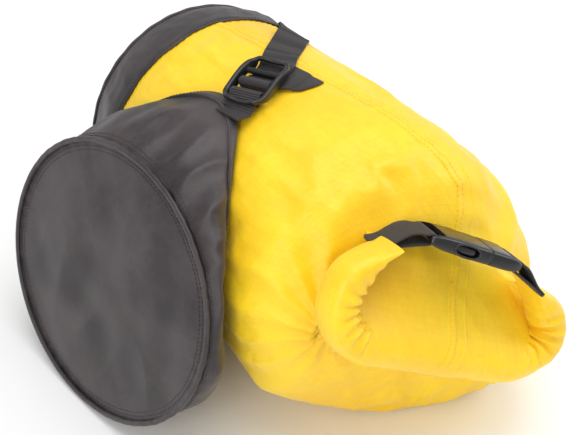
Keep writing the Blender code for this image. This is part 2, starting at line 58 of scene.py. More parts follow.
# y, half-width, half-height, centre height, as mm
SACK_STATIONS = np.array(
    (
        (141, 89, 89.0, 91),
        (122, 92, 92, 93),
        (110, 93.6, 93.6, 94.1),
        (100, 95, 95, 95),
        (60, 99, 99, 98),
        (10, 102, 102, 100),
        (-40, 105, 104, 101),
        (-85, 107, 104, 101),
        (-115, 108, 102, 98),
        (-130, 107, 95, 93),
        (-143, 105, 84, 85),
        (-154, 102, 70, 77),
        (-163, 97, 54, 75),
        (-169, 90, 34, 80),
        (-172.5, 83, 17, 90),
        (-174, 78, 7, 96),
    )
) * MM
MOUTH_STARTS = -85 * MM
MOUTH_ENDS = -174 * MM
MOUTH_TURN = math.radians(28)
MOUTH_SKEW = math.radians(12)


class Wire:
    """One socket in a material. Arithmetic on it adds Math nodes, and make() adds any other node."""

    def __init__(self, tree, socket):
        self.tree, self.socket = tree, socket

    def make(self, kind, settings=None, sockets=None, out=0):
        node = self.tree.nodes.new("ShaderNode" + kind)
        for name, value in (settings or {}).items():
            if name == "stops":
                while len(node.color_ramp.elements) < len(value):
                    node.color_ramp.elements.new(0.5)
                for stop, (place, shade) in zip(node.color_ramp.elements, value):
                    stop.position = place
                    stop.color = (shade, shade, shade, 1)
            else:
                setattr(node, name, value)
        for name, value in (sockets or {}).items():
            if isinstance(value, Wire):
                self.tree.links.new(value.socket, node.inputs[name])
            else:
                node.inputs[name].default_value = value
        return Wire(self.tree, node.outputs[out])

    def maths(self, operation, first, second=0.0):
        return self.make("Math", {"operation": operation}, {0: first, 1: second})

    def __add__(self, other):
        return self.maths("ADD", self, other)

    def __radd__(self, other):
        return self.maths("ADD", other, self)

    def __sub__(self, other):
        return self.maths("SUBTRACT", self, other)

    def __rsub__(self, other):
        return self.maths("SUBTRACT", other, self)

    def __mul__(self, other):
        return self.maths("MULTIPLY", self, other)

    def __rmul__(self, other):
        return self.maths("MULTIPLY", other, self)


def new_finish(name, rough, **fixed):
    """A material with its constant sockets set, its shader, and the wires of its Object and UV coordinates."""
    made = bpy.data.materials.new(name)
    made.use_nodes = True
    shader = made.node_tree.nodes["Principled BSDF"]
    shader.inputs["Roughness"].default_value = rough
    for socket, value in fixed.items():
        shader.inputs[socket.replace("_", " ")].default_value = value
    place = made.node_tree.nodes.new("ShaderNodeTexCoord")
    place_wire = Wire(made.node_tree, place.outputs["Object"])
    cloth_wire = Wire(made.node_tree, place.outputs["UV"])
    return made, shader, place_wire, cloth_wire


def plug_in(shader, socket, wire):
    wire.tree.links.new(wire.socket, shader.inputs[socket])


def mottle(place, scale, detail=2.0, rough=0.5):
    return place.make("TexNoise", None, {"Vector": place, "Scale": scale, "Detail": detail, "Roughness": rough})


def spread(wire, low, high):
    """0 below low and 1 above high, smooth between."""
    return wire.make("MapRange", {"interpolation_type": "SMOOTHSTEP"}, {0: wire, 1: low, 2: high, 3: 0.0, 4: 1.0})


def tint(factor, first, second):
    sockets = {0: factor, 6: (*first, 1) if isinstance(first, tuple) else first}
    sockets[7] = (*second, 1) if isinstance(second, tuple) else second
    return factor.make("Mix", {"data_type": "RGBA"}, sockets, 2)


def stripes(place, direction, pitch):
    """0 to 1 and back once in each pitch along one axis of the coordinates."""
    across = place.make("SeparateXYZ", None, {0: place}, direction)
    return place.maths("SINE", across * (2 * math.pi / pitch)) * 0.5 + 0.5


def coated_nylon(name, deep, pale, rough):
    """Thin coated ripstop: a plain weave, a grid of thicker threads, fine crinkles and a soft gloss."""
    made, shader, place, cloth = new_finish(name, rough, Sheen_Weight=0.12, Coat_Weight=0.08, Coat_Roughness=0.35)
    broad = mottle(place, 14.0, 3.0)
    fine = mottle(place, 160.0, 3.0, 0.6)
    grid_a = spread(stripes(cloth, 0, 5.2 * MM), 0.965, 1.0)
    grid_b = spread(stripes(cloth, 1, 5.2 * MM), 0.965, 1.0)
    grid = place.maths("MAXIMUM", grid_a, grid_b)
    slubs = mottle(cloth.make("Mapping", None, {0: cloth, 3: (900.0, 60.0, 1.0)}), 1.0, 2.0)
    shade = spread(broad * 0.7 + fine * 0.2 + slubs * 0.1, 0.36, 0.62)
    colour = tint(shade, deep, pale)
    darker = tuple(v * 0.86 for v in deep)
    plug_in(shader, "Base Color", tint(grid * 0.16, colour, darker))
    plug_in(shader, "Roughness", fine * 0.16 + broad * 0.14 + (rough - 0.15))
    weave = stripes(cloth, 0, 0.9 * MM) * stripes(cloth, 1, 0.9 * MM)
    crinkle = mottle(cloth.make("Mapping", None, {0: cloth, 3: (130.0, 45.0, 1.0)}), 1.0, 4.0, 0.6)
    height = crinkle * 0.75 + grid * 0.08 + weave * 0.04 + fine * 0.2
    plug_in(shader, "Normal", place.make("Bump", None, {"Strength": 0.5, "Distance": 0.0014, "Height": height}))
    return made


YELLOW_NYLON = coated_nylon("yellow_coated_nylon", (0.92, 0.56, 0.003), (0.99, 0.67, 0.007), 0.46)


def put_mesh(name, points, faces, uvs, finish, sharp=None):
    """A mesh from points and faces, turned to face outwards, with a UV for each face corner."""
    points = np.asarray(points, float)
    volume = 0.0
    for size in (3, 4):
        chosen = np.array([f for f in faces if len(f) == size], int)
        if len(chosen):
            p = points[chosen]
            volume += np.einsum("ij,ij->i", p[:, 0], np.cross(p[:, 1], p[:, 2])).sum()
            if size == 4:
                volume += np.einsum("ij,ij->i", p[:, 0], np.cross(p[:, 2], p[:, 3])).sum()
    if volume < 0:
        faces = [tuple(reversed(f)) for f in faces]
        uvs = [tuple(reversed(c)) for c in uvs]
    mesh = bpy.data.meshes.new(name)
    mesh.from_pydata(points.tolist(), [], [tuple(int(i) for i in f) for f in faces])
    layer = mesh.uv_layers.new(name="cloth")
    layer.data.foreach_set("uv", np.array([v for face in uvs for corner in face for v in corner], np.float32))
    mesh.materials.append(finish)
    mesh.shade_smooth()
    if sharp:
        mesh.set_sharp_from_angle(angle=math.radians(sharp))
    made = bpy.data.objects.new(name, mesh)
    bpy.context.scene.collection.objects.link(made)
    return made


def woven(name, outer, finish, inner=None, wrap=False, poles=False, sharp=None):
    """Cloth from rows of points: a closed skin with its ends closed over, or a wall between outer and inner rows."""
    outer = np.asarray(outer, float)
    rows, count = outer.shape[:2]
    columns = count if wrap else count - 1
    step = np.linalg.norm(np.roll(outer, -1, 1) - outer, axis=2)[:, :columns].mean()
    along = np.concatenate([[0], np.cumsum(np.linalg.norm(np.diff(outer, axis=0), axis=2).mean(1))])
    points = [outer.reshape(-1, 3)]
    faces, uvs = [], []

    def panel(start, turned):
        for i in range(rows - 1):
            for j in range(columns):
                k = (j + 1) % count
                face = (i * count + j, i * count + k, (i + 1) * count + k, (i + 1) * count + j)
                u, w = (j * step, (j + 1) * step), (along[i], along[i + 1])
                corner = ((u[0], w[0]), (u[1], w[0]), (u[1], w[1]), (u[0], w[1]))
                order = (3, 2, 1, 0) if turned else (0, 1, 2, 3)
                faces.append(tuple(start + face[q] for q in order))
                uvs.append(tuple(corner[q] for q in order))

    def rim(first, second, spot):
        """A face between an edge of the outer rows and the same edge of the inner ones."""
        shift = rows * count
        faces.append((first, second, second + shift, first + shift))
        uvs.append(((spot, 0), (spot + step, 0), (spot + step, MM), (spot, MM)))

    panel(0, False)
    if inner is not None:
        points.append(np.asarray(inner, float).reshape(-1, 3))
        panel(rows * count, True)
        last = (rows - 1) * count
        for j in range(columns):
            k = (j + 1) % count
            rim(k, j, j * step)
            rim(last + j, last + k, j * step)
        if not wrap:
            for i in range(rows - 1):
                rim(i * count, (i + 1) * count, along[i])
                rim((i + 1) * count + count - 1, i * count + count - 1, along[i])
    if poles:
        for row, turned in ((0, True), (rows - 1, False)):
            middle = sum(len(p) for p in points)
            points.append(outer[row].mean(0)[None])
            for j in range(columns):
                k = (j + 1) % count
                pair = (row * count + j, row * count + k)
                faces.append((*(reversed(pair) if turned else pair), middle))
                uvs.append(((0, 0), (step, 0), (step / 2, step)))
    return put_mesh(name, np.concatenate(points), faces, uvs, finish, sharp)


def crumple(points, size, seed, stretch=(1, 1, 1)):
    """A smooth random rise and fall, about -1 to 1, over points in space."""
    points = np.asarray(points, float)
    spots = points.reshape(-1, 3) / (size * np.array(stretch)) + seed * 7.31
    return np.array([noise.noise(p) for p in spots]).reshape(points.shape[:-1]) * 1.7


def smooth(t):
    t = np.clip(t, 0, 1)
    return t * t * (3 - 2 * t)


def ease(points, times):
    """Rows of points with each averaged with its neighbours, the edges held."""
    for _ in range(times):
        points = points.copy()
        points[1:-1] = points[1:-1] * 0.5 + (points[:-2] + points[2:]) * 0.25
    return points


def row_normals(rows, wrap):
    """Unit normals of rows of points, on the side that is turned away from their middle."""
    along = np.gradient(rows, axis=0)
    if wrap:
        across = np.roll(rows, -1, 1) - np.roll(rows, 1, 1)
    else:
        across = np.gradient(rows, axis=1)
    normal = np.cross(across, along)
    normal /= np.maximum(np.linalg.norm(normal, axis=2, keepdims=True), 1e-12)
    away = rows - rows.mean((0, 1))
    return normal if (normal * away).sum() > 0 else -normal


def sack_size(y):
    order = SACK_STATIONS[::-1]
    return [np.interp(y, order[:, 0], order[:, i]) for i in (1, 2, 3)]


def sack_rows(ys, angles, lift=0.0):
    """Points on the plain form of the sack, lifted off it, one row for each y."""
    y, angle = (ys, angles) if np.ndim(ys) == 2 else np.meshgrid(ys, angles, indexing="ij")
    a, b, middle = sack_size(y)
    share = smooth((MOUTH_STARTS - y) / (MOUTH_STARTS - MOUTH_ENDS))
    turn = MOUTH_TURN * share
    u, v = np.sin(angle), np.cos(angle)
    size = np.hypot(u * b, v * a)
    x = u * a + u * b / size * lift
    z = v * b + v * a / size * lift
    x = x * (1 - 0.06 * smooth((y - 30 * MM) / (90 * MM)) * (u < 0))
    x = x + 8 * MM * np.maximum(u, 0) * np.exp(-(((y + 118 * MM) / (34 * MM)) ** 2))
    points = np.stack([x * np.cos(turn) + z * np.sin(turn), y, z * np.cos(turn) - x * np.sin(turn) + middle], -1)
    points[..., 1] -= math.tan(MOUTH_SKEW) * points[..., 0] * share
    floor = 2.2 * MM * np.clip((y - 100 * MM) / (10 * MM), 0, 1) - lift
    points[..., 2] = np.maximum(points[..., 2], floor)
    return points


def gathers(points, corner, folds, reach, turn):
    """Folds that fan out over the cloth from a corner where it is pulled under the roll."""
    away = points - corner
    distance = np.linalg.norm(away, axis=-1)
    heading = np.arctan2(away @ RING_UP, away @ RING_RIGHT)
    wander = crumple(points, 60 * MM, turn) * 0.9
    fan = np.cos(heading * folds + turn + wander)
    sharp = 1 - np.abs(fan) ** 0.7 * 1.6
    near = smooth(distance / (22 * MM)) * np.exp(-distance / reach)
    return sharp * near


RING_CENTRE = np.array((2, -183, 132)) * MM
RING_RIGHT = np.array((0.86365, -0.20791, -0.45921))
RING_UP = np.array((0.49854, 0.21757, 0.83912))
RING_OUT = np.array((-0.07455, -0.95364, 0.29156))


def ring_point(a, b, c=0.0):
    a, b, c = (np.asarray(v, float)[..., None] * MM for v in (a, b, c))
    return RING_CENTRE + a * RING_RIGHT + b * RING_UP + c * RING_OUT


def settle(obj, held, movement, frames=16, pressure=2.4, slack=0.025):
    """Lets the cloth of a piece buckle and settle with its filling pressing out, and caps how far a point moves."""
    before = np.array([v.co for v in obj.data.vertices])
    grip = obj.vertex_groups.new(name="held")
    for i, weight in enumerate(held):
        if weight > 0:
            grip.add([i], float(weight), "REPLACE")
    cloth = obj.modifiers.new("cloth", "CLOTH")
    settings = cloth.settings
    settings.quality = 5
    settings.mass = 0.12
    settings.tension_stiffness = 18
    settings.compression_stiffness = 18
    settings.shear_stiffness = 8
    settings.bending_stiffness = 0.35
    settings.use_pressure = True
    settings.uniform_pressure_force = pressure
    settings.shrink_min = -slack
    settings.shrink_max = -slack
    settings.vertex_group_mass = "held"
    settings.pin_stiffness = 1.0
    settings.effector_weights.gravity = 0
    cloth.collision_settings.use_collision = False
    scene = bpy.context.scene
    for number in range(1, frames + 1):
        scene.frame_set(number)
    graph = bpy.context.evaluated_depsgraph_get()
    after = np.array([v.co for v in obj.evaluated_get(graph).data.vertices])
    obj.modifiers.remove(cloth)
    obj.vertex_groups.remove(grip)
    scene.frame_set(1)
    moved = after - before
    size = np.linalg.norm(moved, axis=1, keepdims=True)
    moved *= movement * np.tanh(size / movement) / np.maximum(size, 1e-9)
    return before + moved


body_ys = np.linspace(141, -140, SACK_BODY_ROWS)
mouth_ys = np.linspace(-142, -174, SACK_ROWS - SACK_BODY_ROWS)
sack_ys = np.concatenate([body_ys, mouth_ys]) * MM
sack_angles = np.arange(SACK_COLUMNS) / SACK_COLUMNS * 2 * math.pi
plain = sack_rows(sack_ys, sack_angles)
plain = ease(plain, 3)
sack_out = row_normals(plain, True)
y_grid = plain[..., 1]
loose = smooth((104 * MM - y_grid) / (30 * MM))
to_mouth = smooth((60 * MM - y_grid) / (230 * MM))
long_folds = crumple(plain, 46 * MM, 1, (1, 3.2, 1))
creases = 1 - 2.2 * np.abs(crumple(plain, 34 * MM, 2, (1, 3.6, 1)))
small = crumple(plain, 13 * MM, 3, (1, 1.8, 1))
rise = long_folds * (0.7 + 1.1 * to_mouth) + creases * (0.25 + 0.75 * to_mouth) + small * 0.3
left_corner = ring_point(-62, -38, -12)
right_corner = ring_point(86, -34, -14)
rise = rise + 4.4 * gathers(plain, left_corner, 6, 70 * MM, 0.6)
rise = rise + 3.4 * gathers(plain, right_corner, 6, 55 * MM, 2.1)
SEAM_YS = np.array((-157, -140, -111, -80, -34, -2, 25, 50, 80, 107)) * MM
SEAM_TURNS = (5, 9, 16, 18, 15, 10, 8, 7, 6, 4)
seam_angle = np.radians(np.interp(sack_ys, SEAM_YS, SEAM_TURNS))
off_seam = (sack_angles[None] - seam_angle[:, None] + math.pi) % (2 * math.pi) - math.pi
pucker_wave = np.sin(sack_ys / (11 * MM) * 2 * math.pi + 1.5 * long_folds.mean(1))
pucker = np.exp(-(((off_seam * 100 - 7) / 9) ** 2)) * pucker_wave[:, None]
rise = rise + 0.35 * pucker * (1 + to_mouth)
rise = (np.minimum(rise, 0.9 + 0.35 * (rise - 0.9)) - 0.35) * loose
on_floor = smooth((14 * MM - plain[..., 2]) / (12 * MM))
rise = rise * (1 - 0.75 * on_floor)
sack = plain + sack_out * (rise[..., None] * MM)
sack[..., 2] = np.maximum(sack[..., 2], 0.25 * MM)
sack_cloth = woven("sack_cloth", sack, YELLOW_NYLON, wrap=True, poles=True)
grip = np.clip(1 - loose + smooth((-163 * MM - y_grid) / (8 * MM)) + 0.6 * on_floor, 0, 1).reshape(-1)
grip = np.concatenate([grip, [1, 1]])
settled = settle(sack_cloth, grip, 3.2 * MM)[: SACK_ROWS * SACK_COLUMNS].reshape(sack.shape)
drift = ((settled - sack) * sack_out).sum(-1)
even = np.ones(33) / 33
mean_drift = np.stack([np.convolve(np.concatenate([r[-16:], r, r[:16]]), even, "valid") for r in drift])
settled = settled - sack_out * (0.8 * mean_drift[..., None])
settled[..., 2] = np.maximum(settled[..., 2], 0.25 * MM)
sack = settled
moved_points = np.concatenate([sack.reshape(-1, 3), sack[0].mean(0)[None], sack[-1].mean(0)[None]])
sack_cloth.data.vertices.foreach_set("co", moved_points.reshape(-1))
sack_cloth.data.update()
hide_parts("sack_body")
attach(sack_cloth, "sack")

# ------------------------------------------------------------------ rolled mouth
# The mouth is flattened over a stiff plastic strip, rolled down three turns, and its two ends are bent up
# into ears that clip together. The outer turn runs on into the front of the sack without a break.

# the roll's middle line in its own plane, from the tip of the left ear to the tip of the right one, as mm
LEFT_EAR = ((-53, 31), (-66, 20), (-76, 3), (-74, -18), (-58, -32))
RIGHT_EAR = ((66, -33), (87, -21), (90, -4), (80, 9), (67, 18), (57, 26))
ROLL_LINE = (*LEFT_EAR, (-20, -35), (25, -35), *RIGHT_EAR)


def curve_through(points, count, share=None):
    """Evenly spaced points on a smooth curve through the given ones, or the points at the given shares of it."""
    pts = [np.array(p, float) for p in points]
    pts = [2 * pts[0] - pts[1], *pts, 2 * pts[-1] - pts[-2]]
    fine = []
    for a, b, c, d in zip(pts, pts[1:], pts[2:], pts[3:]):
        for t in np.linspace(0, 1, 24, endpoint=False):
            curve = (2 * a - 5 * b + 4 * c - d) * t**2 + (3 * b - a - 3 * c + d) * t**3
            fine.append(0.5 * (2 * b + (c - a) * t + curve))
    fine = np.array([*fine, pts[-2]])
    along = np.concatenate([[0], np.cumsum(np.linalg.norm(np.diff(fine, axis=0), axis=1))])
    spots = np.linspace(0, 1, count) if share is None else share
    return np.stack([np.interp(spots * along[-1], along, fine[:, i]) for i in range(fine.shape[1])], 1)


def roll_turn(name, half_across, half_out, finish, trim, folds, hollow):
    """One turn of the roll: a flattened tube along the roll's line, creased inside its bends."""
    count, around = 230, 64
    share = np.linspace(trim, 1 - trim, count)
    flat = curve_through(ROLL_LINE, count, share)
    line = ring_point(flat[:, 0], flat[:, 1])
    tangent = np.gradient(line, axis=0)
    tangent /= np.linalg.norm(tangent, axis=1, keepdims=True)
    side = np.cross(tangent, RING_OUT)
    side /= np.linalg.norm(side, axis=1, keepdims=True)
    bend = np.gradient(np.unwrap(np.arctan2(tangent @ RING_UP, tangent @ RING_RIGHT)))
    bend = np.abs(np.convolve(bend, np.ones(15) / 15, "same"))
    bend = bend / bend.max()
    turn = np.arange(around) / around * 2 * math.pi
    c = np.sign(np.cos(turn)) * np.abs(np.cos(turn)) ** 0.85
    s = np.sign(np.sin(turn)) * np.abs(np.sin(turn)) ** 0.85
    tip = smooth(np.minimum(share, 1 - share) / 0.13)[:, None]
    wide = half_across * (0.16 + 0.84 * tip)
    deep = half_out * (0.94 + 0.06 * tip)
    rows = line[:, None] + side[:, None] * (c * wide)[..., None] + RING_OUT * (s * deep)[..., None]
    out = side[:, None] * c[None, :, None] + RING_OUT * s[None, :, None]
    out = out / np.linalg.norm(out, axis=2, keepdims=True)
    to_middle = ring_point(4, 20) - line
    inner_side = np.sign(to_middle @ RING_UP * (side @ RING_UP) + to_middle @ RING_RIGHT * (side @ RING_RIGHT))
    inside = np.cos(turn)[None] * inner_side[:, None]
    facing = smooth(0.55 + 0.75 * inside + 0.25 * np.sin(turn)[None])
    length = share * 330
    wander = crumple(rows, 24 * MM, 5) * 2.2
    waves = np.sin(length[:, None] * (2 * math.pi / 10.5) + wander + 1.3 * np.sin(turn)[None])
    finer = np.sin(length[:, None] * (2 * math.pi / 5.7) + wander * 1.6 + 2 * np.cos(turn)[None])
    pinch = (0.35 + bend[:, None]) * facing
    rise = -folds * pinch * (1.0 + 1.0 * waves + 0.35 * finer)
    off_groove = (np.sin(turn)[None] - 0.78 + 0.14 * np.sin(length[:, None] / 23)) / 0.12
    groove = np.exp(-(off_groove**2)) * (inside > 0)
    rise = rise - 0.54 * groove * folds + 0.5 * crumple(rows, 17 * MM, 6) + 0.9 * crumple(rows, 42 * MM, 8) - 0.3
    rows = rows + out * (rise[..., None] * MM * (0.25 + 0.75 * tip[..., None]))
    inner = rows - out * np.minimum(hollow * MM, 0.7 * wide)[..., None]
    return woven(name, rows, finish, inner=inner, wrap=True, sharp=60)


# The roll's cloth is a slightly paler copy of the sack's yellow nylon: the paler colour is painted light shining
# through the thin rolled cloth.
ROLL_NYLON_PAINTED_GLOW = coated_nylon("rolled_nylon_painted_glow", (0.93, 0.56, 0.003), (0.99, 0.68, 0.008), 0.44)
outer_turn = roll_turn("rolled_mouth_outer_turn", 12.5 * MM, 15 * MM, ROLL_NYLON_PAINTED_GLOW, 0.0, 1.25, 1.3)
inner_turns = roll_turn("rolled_mouth_inner_turns", 8.4 * MM, 11.0 * MM, ROLL_NYLON_PAINTED_GLOW, 0.05, 0.5, 5.4)
STRIP_ROWS = 90
stiffener_line = curve_through(ROLL_LINE, STRIP_ROWS, np.linspace(0.05, 0.95, STRIP_ROWS))
stiff_centre = ring_point(stiffener_line[:, 0], stiffener_line[:, 1])
stiff_along = np.gradient(stiff_centre, axis=0)
stiff_side = np.cross(stiff_along, RING_OUT)
stiff_side /= np.linalg.norm(stiff_side, axis=1, keepdims=True)


def section_sweep(centre, across, up, outline):
    """Rows of one section outline carried along a line."""
    return np.array([[p + x * a + z * b for a, b in outline] for p, x, z in zip(centre, across, up)])


def rounded_outline(half_wide, half_thick, radius, count=6):
    """A rectangle with rounded corners, as points round it."""
    points = []
    wide, thick = half_wide - radius, half_thick - radius
    for number, (a, b) in enumerate(((1, 1), (-1, 1), (-1, -1), (1, -1))):
        for turn in np.linspace(0, math.pi / 2, count) + number * math.pi / 2:
            points.append((a * wide + radius * math.cos(turn), b * thick + radius * math.sin(turn)))
    return points


STRIP_FINISH, strip_shader, strip_place, _ = new_finish("stiffener_plastic", 0.4)
plug_in(strip_shader, "Base Color", tint(mottle(strip_place, 120.0), (0.09, 0.09, 0.09), (0.14, 0.14, 0.135)))
strip_grain = {"Strength": 0.2, "Distance": 0.0004, "Height": mottle(strip_place, 300.0)}
plug_in(strip_shader, "Normal", strip_place.make("Bump", None, strip_grain))
stiff_up = np.repeat(RING_OUT[None], STRIP_ROWS, 0)
strip_outline = rounded_outline(8.2 * MM, 0.8 * MM, 0.6 * MM, 3)
strip_rows = section_sweep(stiff_centre, stiff_up, stiff_side, strip_outline)
stiffener = woven("roll_stiffener_strip", strip_rows, STRIP_FINISH, wrap=True, poles=True)

# the front of the sack, drawn down over the roll to its lip, with its edges tucked behind the ears
APRON_COLUMNS = 140
depth_of_sack = BVHTree.FromObject(sack_cloth, bpy.context.evaluated_depsgraph_get())
apron_columns = np.linspace(-78, 94, APRON_COLUMNS)
apron_b = np.concatenate([np.linspace(34, -47, 84), np.linspace(-47.4, -48.2, 3)])


def hit(tree, origin, direction, fallback):
    spot = tree.ray_cast(Vector(origin), Vector(direction))[0]
    return fallback if spot is None else np.array(spot)


def upper_hull(xs, ys):
    """The taut line over a profile."""
    kept = []
    for x, y in zip(xs, ys):
        while len(kept) > 1:
            (x1, y1), (x2, y2) = kept[-2:]
            if (x2 - x1) * (y - y1) < (y2 - y1) * (x - x1):
                break
            kept.pop()
        kept.append((x, y))
    kept = np.array(kept)
    return np.interp(xs, kept[:, 0], kept[:, 1])


NO_CLOTH = -70.0  # the depth taken where a line of sight misses the sack
# where the panel's edges lie behind the ears: heights, and places across at those heights, as mm
LEFT_LIMIT = ((-48, -30, -18, 3, 20, 28, 34), (-66, -68, -72, -74, -65, -54, -42))
RIGHT_LIMIT = ((-48, -30, -21, -4, 9, 18, 26, 34), (86, 86, 88, 89, 79, 68, 60, 55))
profile_b = np.linspace(-47, 40, 88)
taut_depth, body_depth = np.zeros((2, len(profile_b), len(apron_columns)))
for j, a in enumerate(apron_columns):
    spots = [hit(depth_of_sack, ring_point(a, b, 90), -RING_OUT, None) for b in profile_b]
    depths = [NO_CLOTH if spot is None else float((spot - RING_CENTRE) @ RING_OUT) / MM for spot in spots]
    body = np.array(depths)
    bottom = -35 + 0.35 * np.maximum(np.abs(a - 5) - 60, 0)
    over = 1 - ((profile_b - bottom) / 12.6) ** 2
    roll = np.where(over > 0, 14.6 * np.sqrt(np.maximum(over, 0)), NO_CLOTH)
    taut_depth[:, j] = upper_hull(profile_b, np.maximum(body, roll))
    body_depth[:, j] = body
taut_depth = ease(ease(taut_depth, 4).T, 10).T
apron = []
for b in apron_b:
    row = float(np.interp(max(b, -47), profile_b, np.arange(len(profile_b))))
    low, part = min(int(row), len(profile_b) - 2), row - min(int(row), len(profile_b) - 2)
    left, right = np.interp(b, *LEFT_LIMIT), np.interp(b, *RIGHT_LIMIT)
    spots = np.linspace(left, right, len(apron_columns))
    between = [d[low] * (1 - part) + d[low + 1] * part for d in (taut_depth, body_depth)]
    taut, body = (np.interp(spots, apron_columns, depths) for depths in between)
    from_edge = np.minimum(spots - left, right - spots)
    edge = smooth(from_edge / 13)
    above_ear = smooth((b - np.interp(spots, (-60, 80), (24, 15))) / 7)
    taut = np.maximum(taut, -7 - 1.1 * from_edge - 80 * above_ear)
    top = smooth((34 - b) / 14)
    sag = 3.0 * smooth((b + 28) / 20) * smooth((30 - b) / 24)
    buried = np.clip(taut - 6.0, -9.0, 3.0) * (1 - above_ear) + (body - 3.0) * above_ear
    apron.append(ring_point(spots, b, (np.maximum(taut - sag, body) + 1.9 * top - 0.9) * edge + buried * (1 - edge)))
apron = np.array(apron)
apron_creases = 1 - 2.2 * np.abs(crumple(apron, 17 * MM, 12, (1, 3, 3)))
apron_folds = crumple(apron, 30 * MM, 11, (1, 3.5, 3.5)) * 0.9 + apron_creases * 0.35
from_side = np.minimum(np.arange(APRON_COLUMNS), np.arange(APRON_COLUMNS)[::-1])
held_edge = smooth((34 - apron_b) / 20)[:, None] * smooth(from_side / 14)[None]
apron = apron + RING_OUT * (apron_folds * held_edge * 0.8 * MM)[..., None]
lip = woven("rolled_mouth_front", apron, YELLOW_NYLON, inner=apron - RING_OUT * 0.9 * MM, sharp=70)
for piece, nodes in (
    (outer_turn, ("roll_outer_turn",)),
    (inner_turns, ("roll_inner_turns",)),
    (stiffener, ("roll_stiffener",)),
    (lip, ()),
):
    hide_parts(*nodes)
    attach(piece, "sack")

# ------------------------------------------------------------------ long seam
# A flat-felled seam joins the tube's two edges along the top, with a row of stitching at each side of it and
# a strip of seam tape showing as a line beside it. It runs from the base to the lip of the roll.

bpy.context.view_layer.update()


def merged_tree(*objects):
    """One tree for finding the outermost cloth of several pieces."""
    points, faces = [], []
    for obj in objects:
        start = len(points)
        points += [v.co.copy() for v in obj.data.vertices]
        faces += [[start + i for i in f.vertices] for f in obj.data.polygons]
    return BVHTree.FromPolygons(points, faces)


cloth_tree = merged_tree(sack_cloth, lip)


def laid_on(tree, points, outs, reach=40 * MM):
    """Points moved along their directions onto the outermost cloth."""
    found = []
    for p, out in zip(points, outs):
        found.append(hit(tree, p + out * reach, -out, p))
    return np.array(found)


def sack_spots(stations, count, turn=0.0):
    """Points on the plain sack and the directions out of it, through stations of angle and y in mm."""
    flat = curve_through([(a * 1.75, y) for a, y in stations], count)
    points, outs = [], []
    for a, y in flat:
        angle = math.radians(a / 1.75 + turn)
        p = sack_rows([y * MM], [angle])[0, 0]
        q = sack_rows([y * MM], [angle], 5 * MM)[0, 0]
        points.append(p)
        outs.append((q - p) / np.linalg.norm(q - p))
    return np.array(points), np.array(outs)


def line_axes(points, outs):
    """Directions across and out of a line laid on cloth."""
    tangent = np.gradient(points, axis=0)
    tangent /= np.linalg.norm(tangent, axis=1, keepdims=True)
    out = outs - tangent * (outs * tangent).sum(1, keepdims=True)
    out /= np.linalg.norm(out, axis=1, keepdims=True)
    return np.cross(tangent, out), out


SEAM_STATIONS = ((4, 110), (6, 80), (7, 50), (8, 25), (10, -2), (15, -34), (18, -80), (16, -111), (11, -135))
SEAM_ON_ROLL = ((12.5, 21), (11, 3), (11, -19), (7, -31), (2, -44))
SEAM_ROWS = 420
seam_points, seam_outs = sack_spots(SEAM_STATIONS, 230)
ring_line = curve_through(SEAM_ON_ROLL, 70)
ring_spots = ring_point(ring_line[:, 0], ring_line[:, 1], 0)
ring_outs = np.repeat(RING_OUT[None], len(ring_line), 0)
seam_points = np.concatenate([seam_points, ring_spots])
blend_outs = np.concatenate([seam_outs, ring_outs])
blend_outs = ease(blend_outs, 60)
seam_laid = laid_on(cloth_tree, seam_points, blend_outs, 60 * MM)
seam_laid = ease(curve_through(seam_laid[::6], SEAM_ROWS), 4)


def cloth_strip(name, tree, centre, outs, half_wide, lift, thick, finish, steps=7):
    """A strip sewn flat on the cloth, every point of it laid on what is under it."""
    across, out = line_axes(centre, outs)
    rows = []
    for i, p in enumerate(centre):
        spots = [p + across[i] * (half_wide * t) for t in np.linspace(-1, 1, steps)]
        rows.append(laid_on(tree, spots, [out[i]] * steps, 12 * MM))
    rows = ease(np.array(rows), 2)
    shape = 1 - np.abs(np.linspace(-1, 1, steps)) ** 4
    top = rows + out[:, None] * (lift + thick * shape[None, :, None])
    return woven(name, top, finish, inner=rows - out[:, None] * 0.4 * MM, sharp=60), rows


outs_even = curve_through(blend_outs[::6], SEAM_ROWS)
outs_even /= np.linalg.norm(outs_even, axis=1, keepdims=True)
seam, seam_rows = cloth_strip(
    "long_seam", cloth_tree, seam_laid, outs_even, 3.4 * MM, 0.12 * MM, 0.5 * MM, YELLOW_NYLON
)
seam_across, seam_out = line_axes(seam_laid, outs_even)
tape_centre = laid_on(cloth_tree, seam_laid - seam_across * 11 * MM, seam_out, 14 * MM)
tape, _ = cloth_strip(
    "seam_tape_line", cloth_tree, tape_centre, seam_out, 1.3 * MM, 0.05 * MM, 0.35 * MM, YELLOW_NYLON, 5
)
for piece, node in ((seam, "side_seam"), (tape, "seam_tape_edge")):
    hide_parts(node)
    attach(piece, "sack")

# ------------------------------------------------------------------ base
# The round base is black nylon twill: a slack side band sewn over the yellow tube, a bound edge, and a flat
# end panel. It takes the ends of both compression straps.


def nylon_twill(name, deep, pale, rough, pitch):
    """Dense black nylon with a fine diagonal twill, a soft sheen and paler patches spread at random."""
    made, shader, place, cloth = new_finish(name, rough, Sheen_Weight=0.12, Sheen_Roughness=0.4)
    broad = mottle(place, 22.0, 3.0)
    fine = mottle(place, 240.0, 2.0, 0.6)
    parts = [cloth.make("SeparateXYZ", None, {0: cloth}, axis) for axis in (0, 1)]
    twill = place.maths("SINE", (parts[0] + parts[1]) * (2 * math.pi / pitch)) * 0.5 + 0.5
    yarn = stripes(cloth, 1, pitch * 0.8)
    shade = spread(broad * 0.7 + fine * 0.2 + twill * 0.1, 0.34, 0.64)
    plug_in(shader, "Base Color", tint(shade, deep, pale))
    plug_in(shader, "Roughness", broad * 0.16 + fine * 0.08 + (rough - 0.12))
    height = twill * 0.35 + yarn * 0.12 + fine * 0.4
    plug_in(shader, "Normal", place.make("Bump", None, {"Strength": 0.3, "Distance": 0.0008, "Height": height}))
    return made


